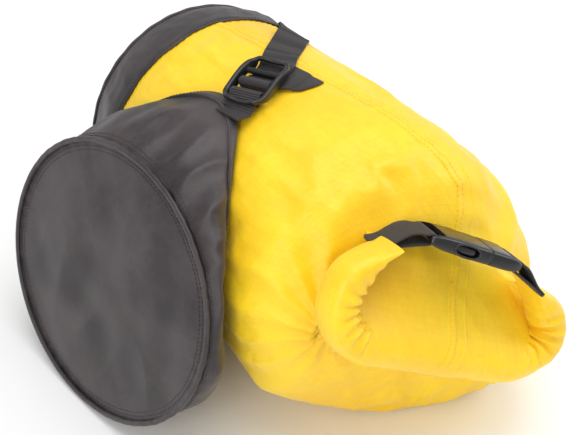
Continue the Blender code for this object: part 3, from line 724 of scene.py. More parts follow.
BASE_TWILL = nylon_twill("black_base_twill", (0.022, 0.017, 0.018), (0.055, 0.043, 0.045), 0.44, 1.1 * MM)
band_angles = np.arange(288) / 288 * 2 * math.pi
band_share = np.linspace(0, 1, 30)
share_grid, angle_grid = np.meshgrid(band_share, band_angles, indexing="ij")
edge_wave = 1.1 * np.sin(5 * angle_grid + 0.8) + 0.7 * np.sin(11 * angle_grid + 2.0) + 0.4 * np.sin(23 * angle_grid)
band_y = (100.0 + edge_wave * (1 - share_grid) + 41.2 * share_grid) * MM
band_form = sack_rows(band_y, angle_grid, 0.45 * MM)
off_floor = smooth((band_form[..., 2] - 6 * MM) / (40 * MM))
puff = np.sin(math.pi * share_grid) ** 0.6 * (2.6 + 2.6 * crumple(band_form, 52 * MM, 21)) * off_floor
off_edges = np.sin(math.pi * np.clip(share_grid * 1.1, 0, 1))
crease = (1 - 2.4 * np.abs(crumple(band_form, 22 * MM, 22, (1, 2.6, 1)))) * off_edges * off_floor
band_lift = 1.4 + np.maximum(puff, -0.6) + 0.9 * crease + 0.25 * crumple(band_form, 8 * MM, 23)
band_lift = np.maximum(band_lift, 1.0)
band_outer = sack_rows(band_y, angle_grid, band_lift * MM)
band_inner = sack_rows(band_y, angle_grid, np.maximum(band_lift - 0.9, 0.42) * MM)
band_outer[..., 2] = np.maximum(band_outer[..., 2], 0.25 * MM)
band_inner[..., 2] = np.maximum(band_inner[..., 2], 1.0 * MM)
base_band = woven("base_side_band", band_outer, BASE_TWILL, inner=band_inner, wrap=True, sharp=60)


def disc_rows(centre, edge, front, thick_front, thick_back, shares):
    """Rows over a thin round panel, from its middle over the front to the edge and back behind."""
    made = []
    for side, offset in ((1, thick_front), (-1, thick_back)):
        for share in shares if side > 0 else shares[::-1]:
            made.append(centre + (edge - centre) * share + front * offset(share))
    return np.array(made)


base_edge = sack_rows([141 * MM], band_angles, 1.6 * MM)[0] + np.array((0, 0.9 * MM, 0))
base_middle = base_edge.mean(0)
panel_shares = np.concatenate([np.linspace(0.02, 0.9, 26), np.linspace(0.915, 1.0, 8)])
base_out = np.array((0.0, 1.0, 0.0))
panel_points = disc_rows(base_middle, base_edge, base_out, lambda s: 1.2 * MM, lambda s: 0.0, panel_shares)
panel_dents = crumple(panel_points, 40 * MM, 25) * 0.25 + crumple(panel_points, 15 * MM, 26) * 0.15 - 0.2
front_rows = len(panel_shares)
rim_pucker = np.cos(band_angles * 46)[None] * np.exp(-(((panel_shares - 0.93) / 0.03) ** 2))[:, None] * 0.22
panel_points[:front_rows, :, 1] += (panel_dents[:front_rows] + rim_pucker) * MM
panel_points[..., 2] = np.maximum(panel_points[..., 2], 0.4 * MM)
base_panel = woven("base_end_panel", panel_points, BASE_TWILL, wrap=True, poles=True, sharp=60)


def ring_cord(name, line, radius, finish, sides=10, flat=1.0, out=None):
    """A round or flattened binding along a closed line of points."""
    tangent = np.roll(line, -1, 0) - np.roll(line, 1, 0)
    tangent /= np.linalg.norm(tangent, axis=1, keepdims=True)
    across = np.cross(tangent, out)
    across /= np.linalg.norm(across, axis=1, keepdims=True)
    up = np.cross(across, tangent)
    rows = []
    for turn in np.arange(sides) / sides * 2 * math.pi:
        rows.append(line + across * (radius * math.cos(turn)) + up * (radius * flat * math.sin(turn)))
    rows = np.array(rows + rows[:1])
    points = rows[:-1].transpose(1, 0, 2)
    return closed_tube(name, points, finish)


def closed_tube(name, rows, finish, sharp=None):
    """A tube whose line closes on itself: rows of closed sections."""
    count, sides = rows.shape[:2]
    step = np.linalg.norm(rows[1:] - rows[:-1], axis=2).mean()
    width = np.linalg.norm(rows[:, 1:] - rows[:, :-1], axis=2).mean()
    faces, uvs = [], []
    for i in range(count):
        for j in range(sides):
            k, m = (j + 1) % sides, (i + 1) % count
            faces.append((i * sides + j, i * sides + k, m * sides + k, m * sides + j))
            u, w = (j * width, (j + 1) * width), (i * step, (i + 1) * step)
            uvs.append(((u[0], w[0]), (u[1], w[0]), (u[1], w[1]), (u[0], w[1])))
    return put_mesh(name, rows.reshape(-1, 3), faces, uvs, finish, sharp)


binding_turns = np.arange(360) / 360 * 2 * math.pi
binding_line = sack_rows([141.6 * MM], binding_turns, 2.2 * MM)[0]
binding_line[:, 2] = np.maximum(binding_line[:, 2], 1.7 * MM)
binding_line[:, 1] += 0.3 * MM * np.sin(binding_turns * 31)
base_binding = ring_cord("base_edge_binding", binding_line, 1.45 * MM, BASE_TWILL, out=base_out)
for piece, nodes in ((base_band, ("base_band",)), (base_panel, ("base_panel",)), (base_binding, ())):
    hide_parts(*nodes)
    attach(piece, "sack")

# ------------------------------------------------------------------ mouth webbing
# Each end of the rolled mouth has a short tab of 25 mm ribbed nylon webbing sewn into it, folded round the bar
# of its buckle half.

BUCKLE_AXIS = np.array((0.80854, -0.36479, -0.46173))
BUCKLE_SIDE = np.array((0.22647, 0.91713, -0.328))
BUCKLE_FACE = np.array((0.54312, 0.16063, 0.82415))
BUCKLE_MIDDLE = np.array((32.5, -178.5, 158)) * MM
RIB = 1.75 * MM
WEBBING_HALF_WIDE = 12.4 * MM
WEBBING_HALF_THICK = 0.68 * MM


def ribbed_nylon(name):
    """Heavy black webbing: raised ribs of matt yarn, with fuzz and slightly paler crowns."""
    made, shader, place, cloth = new_finish(name, 0.72, Sheen_Weight=0.12, Sheen_Roughness=0.5)
    crown = stripes(cloth, 1, RIB)
    warp = stripes(cloth, 0, 0.7 * MM)
    fuzz = mottle(place, 420.0, 3.0, 0.65)
    broad = mottle(place, 30.0)
    shade = spread(crown * 0.6 + fuzz * 0.25 + broad * 0.25, 0.3, 0.85)
    plug_in(shader, "Base Color", tint(shade, (0.007, 0.005, 0.005), (0.036, 0.029, 0.030)))
    plug_in(shader, "Roughness", fuzz * 0.2 + 0.58)
    height = warp * 0.4 + fuzz * 0.6 + crown * 0.2
    plug_in(shader, "Normal", place.make("Bump", None, {"Strength": 0.45, "Distance": 0.0005, "Height": height}))
    return made


RIBBED_WEBBING = ribbed_nylon("ribbed_webbing")


def webbing(name, centre, across, cut=(0.0, 0.0), rib=0.17 * MM):
    """A strap of ribbed webbing along a line, its width direction given at each point, with square or slanted ends."""
    centre = np.asarray(centre, float)
    length = np.linalg.norm(np.diff(centre, axis=0), axis=1).sum()
    count = int(length / (0.36 * MM))
    joined = curve_through(np.concatenate([centre, np.broadcast_to(across, centre.shape) * 10 * MM], 1)[:, :3], count)
    spots = np.concatenate([[0], np.cumsum(np.linalg.norm(np.diff(centre, axis=0), axis=1))])
    share = np.linspace(0, spots[-1], count)
    side = np.stack([np.interp(share, spots, np.broadcast_to(across, centre.shape)[:, i]) for i in range(3)], 1)
    tangent = np.gradient(joined, axis=0)
    tangent /= np.linalg.norm(tangent, axis=1, keepdims=True)
    side = side - tangent * (side * tangent).sum(1, keepdims=True)
    side /= np.linalg.norm(side, axis=1, keepdims=True)
    up = np.cross(side, tangent)
    level = np.array((1.0, 0.97, 0.86, 0.62, 0.3, 0.0, -0.3, -0.62, -0.86, -0.97, -1.0))
    outline = [(a, 1) for a in level] + [(a, -1) for a in level[::-1]]
    rows = []
    for i, p in enumerate(joined):
        ridge = rib * math.cos(2 * math.pi * share[i] / RIB)
        row = []
        for a, b in outline:
            edge = 0.45 if abs(a) == 1.0 else (0.85 if abs(a) > 0.96 else 1.0)
            starts = cut[0] * max(0.0, 1 - share[i] / (14 * MM))
            ends = cut[1] * max(0.0, 1 - (share[-1] - share[i]) / (14 * MM))
            height = b * (WEBBING_HALF_THICK * edge + ridge * (edge > 0.5))
            row.append(p + side[i] * (a * WEBBING_HALF_WIDE) + up[i] * height + tangent[i] * ((starts - ends) * a))
        rows.append(row)
    return woven(name, np.array(rows), RIBBED_WEBBING, wrap=True, poles=True, sharp=50)


def fold_round(bar, direction, across, radius, before, after):
    """The line of webbing that comes along a direction, goes round a bar and comes back. Places are in mm."""
    direction = direction - across * (direction @ across)
    direction = direction / np.linalg.norm(direction)
    normal = np.cross(across, direction)
    if normal @ BUCKLE_FACE < 0:
        normal = -normal
    line = [bar + direction * (spot * MM) + normal * (radius + lift * MM) for spot, lift in before]
    for turn in np.linspace(0, math.pi, 11):
        line.append(bar + (normal * math.cos(turn) - direction * math.sin(turn)) * radius)
    line += [bar + direction * (spot * MM) - normal * (radius + lift * MM) for spot, lift in after]
    return np.array(line)


left_bar = BUCKLE_MIDDLE - BUCKLE_AXIS * 42 * MM
right_bar = BUCKLE_MIDDLE + BUCKLE_AXIS * 22.1 * MM
left_way = ring_point(-56, 29) - left_bar
LEFT_OVER = ((36, -2.4), (28, -2.2), (21, 0.4), (14, 2.4), (8, 2.0), (3, 0.3))
LEFT_UNDER = ((4, 0.0), (10, -0.8), (17, -1.5), (26, -2.2), (36, -2.4))
left_fold = fold_round(left_bar, left_way, BUCKLE_SIDE, 3.1 * MM, LEFT_OVER, LEFT_UNDER)
left_tab = webbing("mouth_webbing_left_tab", left_fold, BUCKLE_SIDE)
right_way = ring_point(59, 24) - right_bar
RIGHT_OVER = ((31, -2.4), (24, -2.2), (17, -0.6), (10, 1.0), (4, 0.5))
RIGHT_UNDER = ((4, 0.0), (10, -0.6), (17, -1.5), (24, -2.3), (31, -2.4))
right_fold = fold_round(right_bar, right_way, BUCKLE_SIDE, 3.1 * MM, RIGHT_OVER, RIGHT_UNDER)
right_tab = webbing("mouth_webbing_right_tab", right_fold, BUCKLE_SIDE)
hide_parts("mouth_webbing_left")
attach(left_tab, "sack")
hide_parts("mouth_webbing_right")
right_start = right_bar + right_way / np.linalg.norm(right_way) * 21 * MM
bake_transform(right_tab)

# ------------------------------------------------------------------ buckle
# A side-release buckle of black acetal. The socket half is hollow, with an oval window in each side, and the
# plug half has a middle tongue and two sprung prongs whose rounded buttons fill the windows.


def acetal(name, rough):
    """Moulded acetal: satin black, with a fine spark texture, handling shine and faint scuffs."""
    made, shader, place, _ = new_finish(name, rough, Specular_IOR_Level=0.55)
    grain = mottle(place, 900.0, 2.0, 0.6)
    scuff = spread(mottle(place.make("Mapping", None, {0: place, 3: (60.0, 700.0, 300.0)}), 1.0, 3.0), 0.62, 0.74)
    broad = mottle(place, 45.0)
    plug_in(shader, "Base Color", tint(scuff * 0.5 + broad * 0.3, (0.008, 0.0075, 0.008), (0.026, 0.024, 0.026)))
    plug_in(shader, "Roughness", broad * 0.14 + scuff * 0.12 + (rough - 0.08))
    height = grain + scuff * 0.4
    plug_in(shader, "Normal", place.make("Bump", None, {"Strength": 0.16, "Distance": 0.0003, "Height": height}))
    return made


ACETAL = acetal("black_acetal", 0.30)


def buckle_spot(s, t, n):
    return BUCKLE_MIDDLE + (BUCKLE_AXIS * s + BUCKLE_SIDE * t + BUCKLE_FACE * n) * MM


def squircle(half_a, half_b, power, count=48):
    """Points round a rectangle that is rounded more at lower powers."""
    turn = np.arange(count) / count * 2 * math.pi
    c, s = np.cos(turn), np.sin(turn)
    return np.stack([half_a * np.sign(c) * np.abs(c) ** (2 / power), half_b * np.sign(s) * np.abs(s) ** (2 / power)], 1)


def buckle_form(name, stations, power=5.0, shift=(0.0, 0.0)):
    """A smooth moulded body through sections across the buckle: place along it, half-width and half-depth, as mm."""
    fine = curve_through(stations, 40)
    rows = []
    for s, half_t, half_n in fine:
        rows.append([buckle_spot(s, shift[0] + t, shift[1] + n) for t, n in squircle(half_t, half_n, power)])
    return woven(name, np.array(rows), ACETAL, wrap=True, poles=True, sharp=40)


def slot_cutter(centre, halves, axis, power=3.2, count=40):
    """A rounded prism through a form, along s, t or n, for cutting a slot or window."""
    rows = []
    for end in (-1, 1):
        row = []
        for a, b in squircle(halves[0], halves[1], power, count):
            spot = {"s": (end * halves[2], a, b), "t": (a, end * halves[2], b), "n": (a, b, end * halves[2])}[axis]
            row.append(buckle_spot(*(np.array(centre) + spot)))
        rows.append(row)
    return woven("cutter", np.array(rows), ACETAL, wrap=True, poles=True)


def carve(obj, tools, joins=()):
    """Cuts the tools out of a form and melts the joins into it, then rounds the cut edges a little."""
    for operation, group in (("DIFFERENCE", tools), ("UNION", joins)):
        for tool in group:
            step = obj.modifiers.new("carve", "BOOLEAN")
            step.operation = operation
            step.solver = "EXACT"
            step.object = tool
    edge = obj.modifiers.new("edges", "BEVEL")
    edge.width = 0.22 * MM
    edge.segments = 2
    edge.limit_method = "ANGLE"
    edge.angle_limit = math.radians(42)
    mesh = bpy.data.meshes.new_from_object(obj.evaluated_get(bpy.context.evaluated_depsgraph_get()))
    obj.modifiers.clear()
    obj.data = mesh
    mesh.shade_smooth()
    mesh.set_sharp_from_angle(angle=math.radians(38))
    for tool in (*tools, *joins):
        bpy.data.objects.remove(tool)
    return obj


def melt(name, *objects):
    """Several pieces of one moulding as one object."""
    with bpy.context.temp_override(active_object=objects[0], selected_editable_objects=list(objects)):
        bpy.ops.object.join()
    objects[0].name = name
    return objects[0]


SOCKET_END = ((-44.1, 14.2, 2.2), (-43.2, 15.2, 3.2), (-40, 16.0, 4.2), (-33, 16.4, 5.1))
SOCKET_BODY = ((-22, 16.5, 5.5), (-8, 16.5, 5.5), (-1.2, 16.4, 5.4), (-0.25, 16.1, 5.1))
socket = buckle_form("buckle_socket_half", SOCKET_END + SOCKET_BODY)
carve(
    socket,
    [
        # the pocket for the prongs and tongue, and the two side windows
        slot_cutter((-12.5, 0, 0), (13.2, 3.2, 17.0), "s", 6.0),
        slot_cutter((-18, 0, 0), (8.4, 3.3, 30.0), "t", 2.4),
        # the slot for the webbing, and the bar thinned above and below
        slot_cutter((-36.9, 0, 0), (2.7, 13.2, 12.0), "n", 6.0),
        slot_cutter((-42.4, 0, 7.0), (5.2, 13.2, 5.6), "n", 7.0),
        slot_cutter((-42.4, 0, -7.0), (5.2, 13.2, 5.6), "n", 7.0),
    ],
)


def window_rim(name, side):
    """The raised lip round a side window."""
    rows = []
    for turn in np.arange(72) / 72 * 2 * math.pi:
        c, s = math.cos(turn), math.sin(turn)
        a = 9.1 * np.sign(c) * abs(c) ** 0.83
        b = 3.95 * np.sign(s) * abs(s) ** 0.83
        way = np.array((c * 3.4, s * 9.0))
        way = way / np.linalg.norm(way)
        row = []
        for q in np.arange(10) / 10 * 2 * math.pi:
            u, v = 0.75 * math.cos(q), 0.7 * math.sin(q)
            row.append(buckle_spot(-18 + a + way[0] * u, side * (16.45 + v), b + way[1] * u))
        rows.append(row)
    return closed_tube(name, np.array(rows), ACETAL)


socket = melt("buckle_socket_half", socket, window_rim("rim", -1), window_rim("rim", 1))
PLUG_BODY = ((0.25, 16.1, 5.1), (1.2, 16.4, 5.4), (8, 16.5, 5.5), (15, 16.3, 5.3))
PLUG_END = ((20, 15.8, 4.6), (23.2, 15.0, 3.2), (24.1, 14.2, 2.2))
plug = buckle_form("buckle_plug_half", PLUG_BODY + PLUG_END)
TONGUE = ((-21.8, 1.0, 0.9), (-21.2, 2.2, 1.6), (-19, 2.9, 2.1), (-8, 3.0, 2.2), (3, 3.0, 2.2))
tongue = buckle_form("tongue", TONGUE, 4.0)
carve(
    plug,
    [
        # the plug's own webbing slot and thinned bar
        slot_cutter((17.4, 0, 0), (2.7, 13.2, 12.0), "n", 6.0),
        slot_cutter((22.6, 0, 7.0), (5.0, 13.2, 5.6), "n", 7.0),
        slot_cutter((22.6, 0, -7.0), (5.0, 13.2, 5.6), "n", 7.0),
    ],
    [tongue],
)
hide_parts("buckle_socket")
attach(socket, "sack")
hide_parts("buckle_plug")
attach(plug, "plug")
ARM = ((-20.6, 1.0, 1.7), (-19.6, 1.5, 2.4), (-10, 1.5, 2.6), (-0.6, 1.6, 2.7))
BUTTON_END = ((-26.0, 0.6, 0.9), (-25.2, 1.6, 2.0), (-22.5, 2.5, 2.7))
BUTTON = (*BUTTON_END, (-18, 2.9, 2.8), (-13.5, 2.6, 2.7), (-11.3, 1.5, 1.9), (-10.7, 0.6, 0.9))
LINK = ((-23.6, 2.0, 2.1), (-20, 3.2, 2.4), (-15.6, 2.0, 2.1))
for prong_name, node, side, body in (
    ("buckle_prong_rear", "prong_rear", 1, "rear_prong"),
    ("buckle_prong_front", "prong_front", -1, "front_prong"),
):
    arm = buckle_form("arm", ARM, 4.0, (side * 9.6, 0))
    button = buckle_form("button", BUTTON, 2.6, (side * 13.5, 0))
    link = buckle_form("link", LINK, 3.0, (side * 11.4, 0))
    prong = melt(prong_name, button, arm, link)
    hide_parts(node)
    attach(prong, body)

# ------------------------------------------------------------------ ladderlocks
# Two moulded acetal ladderlocks tighten the compression straps. Each is a wavy ring wall, bowed at its sides
# and dished at its ends, with three round bars: one looped to the cap, one carrying the strap, one bare.


class Lock:
    """The axes of a ladderlock lying on the sack: s along it, t across it, n out of the cloth, as mm."""

    def __init__(self, origin, along, across, out):
        self.origin, self.along, self.across, self.out = (np.array(v) for v in (origin, along, across, out))

    def at(self, s, t, n):
        s, t, n = (np.asarray(v, float)[..., None] * MM for v in (s, t, n))
        return self.origin + self.along * s + self.across * t + self.out * n


TOP_LOCK = Lock(
    origin=(-0.02225, -0.003, 0.20035),
    along=(0.89567, 0.40982, 0.17268),
    across=(-0.389, 0.91017, -0.14238),
    out=(-0.21552, 0.06035, 0.97463),
)
LOW_LOCK = Lock(
    origin=(-0.07952, -0.02, 0.03426),
    along=(0.30038, 0.90493, -0.30146),
    across=(0.57152, -0.4238, -0.70268),
    out=(-0.76363, 0.03878, -0.64449),
)
LOCK_BARS = (-12.5, -1.0, 10.5)
BAR_HEIGHT = 6.2


def ladderlock(name, lock):
    """The ring wall swept round a rounded rectangle, and its three bars. Sizes are in mm."""
    rows = []
    for turn in np.arange(160) / 160 * 2 * math.pi:
        c, d = math.cos(turn), math.sin(turn)
        s = 20.9 * math.copysign(abs(c) ** 0.36, c)
        t = 15.7 * math.copysign(abs(d) ** 0.36, d)
        wall = float(smooth((abs(t) - 10.5) / 4.5))
        end = float(smooth((abs(s) - 14) / 6.5))
        s += math.copysign(0.9 * math.cos(t / 15.7 * math.pi / 2), s) * (1 - wall)
        t -= math.copysign(0.9 * end, t) * wall
        dish = math.exp(-(((t + 2.5) / 7.5) ** 2))
        wave = 0.9 * math.sin(s / 21 * math.pi + 0.4)
        high = wall * (11.3 - 1.5 * (s / 21) ** 2 + wave) + (1 - wall) * (10.6 - 1.9 * dish)
        low = wall * (3.4 + 1.0 * math.exp(-(((s - 5) / 8) ** 2))) + (1 - wall) * (7.7 - 1.3 * dish)
        low = max(low, 3.5 + max(0.0, -12.0 - s) * 0.36)
        thick = 1.6 * (1 - wall) + 1.8 * wall
        way = np.array((math.copysign(abs(c) ** 1.64, c) / 20.9, math.copysign(abs(d) ** 1.64, d) / 15.7))
        way = way / np.linalg.norm(way)
        row = []
        for a, b in squircle(1.0, 1.0, 4.0, 20):
            height = (low + high) / 2 + (high - low) / 2 * b
            lean = 0.45 * b * wall
            row.append(lock.at(s + way[0] * (thick * a + lean), t + way[1] * (thick * a + lean), height))
        rows.append(row)
    body = closed_tube(name, np.array(rows), ACETAL)
    bars = []
    for number, s in enumerate(LOCK_BARS):
        rows = []
        for t in np.linspace(-15.6, 15.6, 28):
            radius = 2.4 if number == 2 else 1.9
            flare = radius + 0.35 * float(smooth((abs(t) - 12.6) / 2.6)) + 0.04 * math.cos(t * 2.1)
            round_bar = np.arange(18) / 18 * 2 * math.pi
            rows.append([lock.at(s + flare * math.cos(q), t, BAR_HEIGHT + flare * math.sin(q)) for q in round_bar])
        bars.append(woven("bar", np.array(rows), ACETAL, wrap=True, poles=True, sharp=60))
    return melt(name, body, *bars)


for name, node, lock, body in (
    ("ladderlock_upper", "ladderlock_top", TOP_LOCK, "top_lock"),
    ("ladderlock_lower", "ladderlock_low", LOW_LOCK, "low_lock"),
):
    piece = ladderlock(name, lock)
    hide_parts(node)
    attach(piece, body)

# ------------------------------------------------------------------ compression straps
# Ribbed webbing sewn to the base band at one end. It lies on the sack, goes through its ladderlock from below,
# round the middle bar and out again as a short tail.

strap_tree = merged_tree(sack_cloth, base_band, seam, tape)


def strap_lead(stations, count):
    """The strap's line on the sack: the highest cloth under its width, smoothed, with its half thickness."""
    points, outs = sack_spots(stations, count)
    side, out = line_axes(points, outs)
    base = []
    for i, p in enumerate(points):
        heights = []
        for t in np.linspace(-1, 1, 7):
            q = p + side[i] * (WEBBING_HALF_WIDE * t)
            heights.append((hit(strap_tree, q + out[i] * 30 * MM, -out[i], q) - p) @ out[i])
        base.append(max(heights))
    lift = ease(np.array(base)[:, None], 8)[:, 0]
    return points + out * (np.maximum(lift, np.array(base)) + 0.85 * MM)[:, None], side


def through_lock(lock, spots, wrap_from, wrap_to, radius, after, bar=1, count=12):
    line = [lock.at(s, 0, n) for s, n in spots]
    for turn in np.linspace(wrap_from, wrap_to, count):
        q = math.radians(turn)
        line.append(lock.at(LOCK_BARS[bar] + radius * math.cos(q), 0, BAR_HEIGHT + radius * math.sin(q)))
    return line + [lock.at(s, 0, n) for s, n in after]


def joined_strap(name, lead, lead_side, lock, tail, **kind):
    """A strap that follows its lead over the sack and then turns to run square through the lock."""
    line = np.concatenate([lead, np.array(tail)])
    square = lock.across[None] * np.sign(lead_side[-1] @ lock.across)
    side = np.concatenate([lead_side, np.repeat(square, len(tail), 0)])
    for _ in range(3):
        side[len(lead) - 4 : len(lead) + 3] = ease(side[len(lead) - 5 : len(lead) + 4], 2)[1:-1]
    fine = curve_through(line, 260)
    spots = np.concatenate([[0], np.cumsum(np.linalg.norm(np.diff(line, axis=0), axis=1))])
    share = np.linspace(0, spots[-1], 260)
    side = np.stack([np.interp(share, spots, side[:, i]) for i in range(3)], 1)
    return webbing(name, fine, side, **kind)


TOP_STRAP_STATIONS = ((64, 134), (60, 124), (52, 108), (39, 80), (25, 55), (14, 36), (8, 26))
TOP_STRAP_IN = ((25, 3.3), (20, 2.6), (14, 2.0), (8, 1.7), (1, 1.7), (-3.2, 2.5))
WRAP_RADIUS = 2.95
top_lead, top_side = strap_lead(TOP_STRAP_STATIONS, 60)
under_top = through_lock(TOP_LOCK, TOP_STRAP_IN, 205, 10, WRAP_RADIUS, ((2.6, 4.3), (5.5, 3.7), (8.0, 3.6)))
top_strap = joined_strap("compression_strap_upper", top_lead, top_side, TOP_LOCK, under_top)
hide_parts("strap_top")
tuple(TOP_LOCK.at(24, 0, 3))
tuple(TOP_LOCK.at(-6, 0, 6))
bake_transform(top_strap)
tail_columns, tail_rows = 23, 90
corner = [np.array(v, float) for v in ((33.0, -6.0, 3.9), (27.7, -34.3, 3.1), (9.7, -28.0, 2.7), (3.0, -13.5, 3.5))]
tail = []
for u in np.linspace(0, 1, tail_rows):
    row = []
    for v in np.linspace(0, 1, tail_columns):
        spot = (corner[0] * (1 - u) + corner[1] * u) * (1 - v) + (corner[3] * (1 - u) + corner[2] * u) * v
        bulge = 2.2 * math.sin(math.pi * v) * u
        row.append(TOP_LOCK.at(spot[0] - 0.3 * bulge, spot[1] - bulge, spot[2] + 0.5 * math.sin(math.pi * u)))
    tail.append(row)
tail = np.array(tail)
for i in range(tail_rows):
    for j in range(tail_columns):
        above = tail[i, j] + TOP_LOCK.out * 12 * MM
        under = hit(strap_tree, above, -TOP_LOCK.out, tail[i, j] - TOP_LOCK.out)
        height, floor_height = ((p - TOP_LOCK.origin) @ TOP_LOCK.out for p in (tail[i, j], under))
        aim = floor_height + (2.6 if i < 55 else 1.0) * MM
        tail[i, j] += TOP_LOCK.out * (max(aim, min(height, aim + 0.6 * MM)) - height)
for _ in range(3):
    tail = ease(ease(tail, 4).transpose(1, 0, 2), 4).transpose(1, 0, 2)
rib_rise = 0.11 * MM * np.cos(np.linalg.norm(tail[:, :1] - tail[:1, :1], axis=2) / RIB * 2 * math.pi)
tail_top = tail + TOP_LOCK.out * (WEBBING_HALF_THICK + rib_rise[..., None])
tail_under = tail - TOP_LOCK.out * WEBBING_HALF_THICK
tail_piece = woven("compression_strap_upper_tail", tail_top, RIBBED_WEBBING, inner=tail_under, sharp=50)
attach(tail_piece, "sack")

low_lead, low_side = strap_lead(((-126, 124), (-127, 108), (-129, 80), (-131, 50), (-132, 22)), 60)
LOW_STRAP_IN = ((28, 3.2), (23, 2.5), (17, 1.8), (8, 1.7), (1, 1.7), (-3.4, 2.5))
LOW_STRAP_TAIL = ((2.6, 4.3), (6.4, 3.6), (12, 3.5), (18, 3.7), (24, 4.7), (31, 6.2))
under_low = through_lock(LOW_LOCK, LOW_STRAP_IN, 205, 10, WRAP_RADIUS, LOW_STRAP_TAIL)
split = LOW_LOCK.at(33, 0, 3)
before_split = (low_lead - split) @ LOW_LOCK.along > 0
low_line = [low_lead[before_split], LOW_LOCK.at(28, 0, 3.2)[None], LOW_LOCK.at(23.5, 0, 2.6)[None]]
low_across = np.concatenate([low_side[before_split], np.repeat(low_side[-1:], 2, 0)])
low_run = webbing("compression_strap_lower", np.concatenate(low_line), low_across)
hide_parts("strap_low")
tuple(LOW_LOCK.at(30, 0, 3))
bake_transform(low_run)
low_square = LOW_LOCK.across * np.sign(low_side[-1] @ LOW_LOCK.across)
low_end = webbing("compression_strap_lower_end", curve_through(under_low[1:], 200), low_square, cut=(0.0, 4 * MM))
tuple(LOW_LOCK.at(22, 0, 3))
tuple(LOW_LOCK.at(-4, 0, 6))
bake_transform(low_end)

# ------------------------------------------------------------------ compression cap
# A soft cap of black nylon twill that tightens over the sack's mouth in use. It is pulled off here and leans on
# the sack: a round top, a deep slack side wall sewn to it by a lapped seam, and a hem bound at its mouth.

CAP_CENTRE = np.array((-151, -9, 93)) * MM
CAP_HALF_HIGH, CAP_HALF_WIDE = 96 * MM, 108 * MM
CAP_OUT = np.array((-0.93121, -0.13017, 0.34044))
CAP_UP = np.array((0.33716, 0.04713, 0.94027))
CAP_ACROSS = np.array((-0.13844, 0.99037, 0.0))
CAP_TWILL = nylon_twill("black_cap_twill", (0.017, 0.012, 0.013), (0.050, 0.038, 0.040), 0.38, 1.25 * MM)
cap_turns = np.arange(320) / 320 * 2 * math.pi


def cap_edge(turn, inset=0.0, forward=0.0):
    turn, inset, forward = np.broadcast_arrays(turn, inset, forward)
    up = (CAP_HALF_HIGH - inset) * np.cos(turn)
    side = (CAP_HALF_WIDE - inset) * np.sin(turn)
    return CAP_CENTRE + CAP_UP * up[..., None] + CAP_ACROSS * side[..., None] + CAP_OUT * forward[..., None]


def cap_rim(turn):
    """The mouth's edge: its upper part lies on the sack and its lower part hangs clear, down to the floor."""
    y = np.where(np.sin(turn) > 0, 80 * MM, 91 * MM) * np.sin(turn)
    z = np.maximum((100 + 94 * np.cos(turn)) * MM, 4 * MM)
    a, b, middle = sack_size(y)
    rise = np.clip((z - middle) / b, -1, 1)
    x = np.where(rise > 0, -a * np.sqrt(1 - rise * rise), -a + (-97 * MM + a) * np.minimum(-rise, 1))
    outward = np.stack([x, 0 * x, np.maximum(z - middle, 0)], -1)
    outward /= np.linalg.norm(outward, axis=-1, keepdims=True)
    return np.stack([x, y, z], -1) + outward * 3.0 * MM


def cap_wall(turn, share, inset=0.0):
    """A point on the side wall, from the top's edge at share 0 to the mouth at 1."""
    turn, share, inset = np.broadcast_arrays(turn, share, inset)
    start, end = cap_edge(turn), cap_rim(turn)
    points = start + (end - start) * share[..., None]
    slack = 5 + np.where(np.sin(turn) > 0, 2, 9) * np.abs(np.sin(turn)) - 4 * np.maximum(-np.cos(turn), 0)
    push = slack * 4 * share * (1 - share) * MM - inset
    points = points + np.stack([0 * turn, np.sin(turn), np.cos(turn)], -1) * push[..., None]
    points[..., 0] += inset * 0.25 * (1 - 2 * share)
    points[..., 2] = np.maximum(points[..., 2], 0.6 * MM + inset)
    return points


def wall_folds(points, turn, share):
    """Soft dents of the slack wall, creases that run from the edge seam, and gathers at the hem, as mm inwards."""
    clear = smooth((points[..., 2] - 3 * MM) / (25 * MM))
    dents = 2.8 * crumple(points, 44 * MM, 31, (1.5, 1, 1)) + 1.3 * crumple(points, 19 * MM, 32, (1.8, 1, 1))
    ridges = (1 - 2.3 * np.abs(crumple(points, 30 * MM, 33, (2.6, 1, 1)))) * 2.0
    uneven = np.clip(0.5 + 0.9 * crumple(points, 38 * MM, 36), 0.1, 1.2)
    seam_gathers = np.sin(turn * 46 + 4.5 * crumple(points, 40 * MM, 34)) * np.exp(-share / 0.11) * 0.5 * uneven
    hem_gathers = np.sin(turn * 38 + 4.0 * crumple(points, 44 * MM, 35)) * np.exp(-(1 - share) / 0.12) * 0.35 * uneven
    middle = np.sin(math.pi * np.clip(share, 0, 1)) ** 0.7
    return ((dents + ridges) * middle - 1.2 * middle + seam_gathers + hem_gathers) * clear


wall_share = np.linspace(0, 0.895, 52)[:, None]
wall_turn = cap_turns[None]
wall_outer = cap_wall(wall_turn, wall_share)
folds = wall_folds(wall_outer, wall_turn, wall_share)
off_lock = (wall_turn + math.pi) % (2 * math.pi) - math.pi + 0.14
near_lock = np.exp(-((off_lock / 0.22) ** 2)) * smooth((wall_share - 0.6) / 0.25)
folds = folds * (1 - near_lock) - 0.8 * near_lock
wall_outer = cap_wall(wall_turn, wall_share, -folds * MM)
wall_inner = cap_wall(wall_turn, wall_share, (1.0 - folds) * MM)
cap_side = woven("cap_side_wall_cloth", wall_outer, CAP_TWILL, inner=wall_inner, wrap=True, sharp=60)

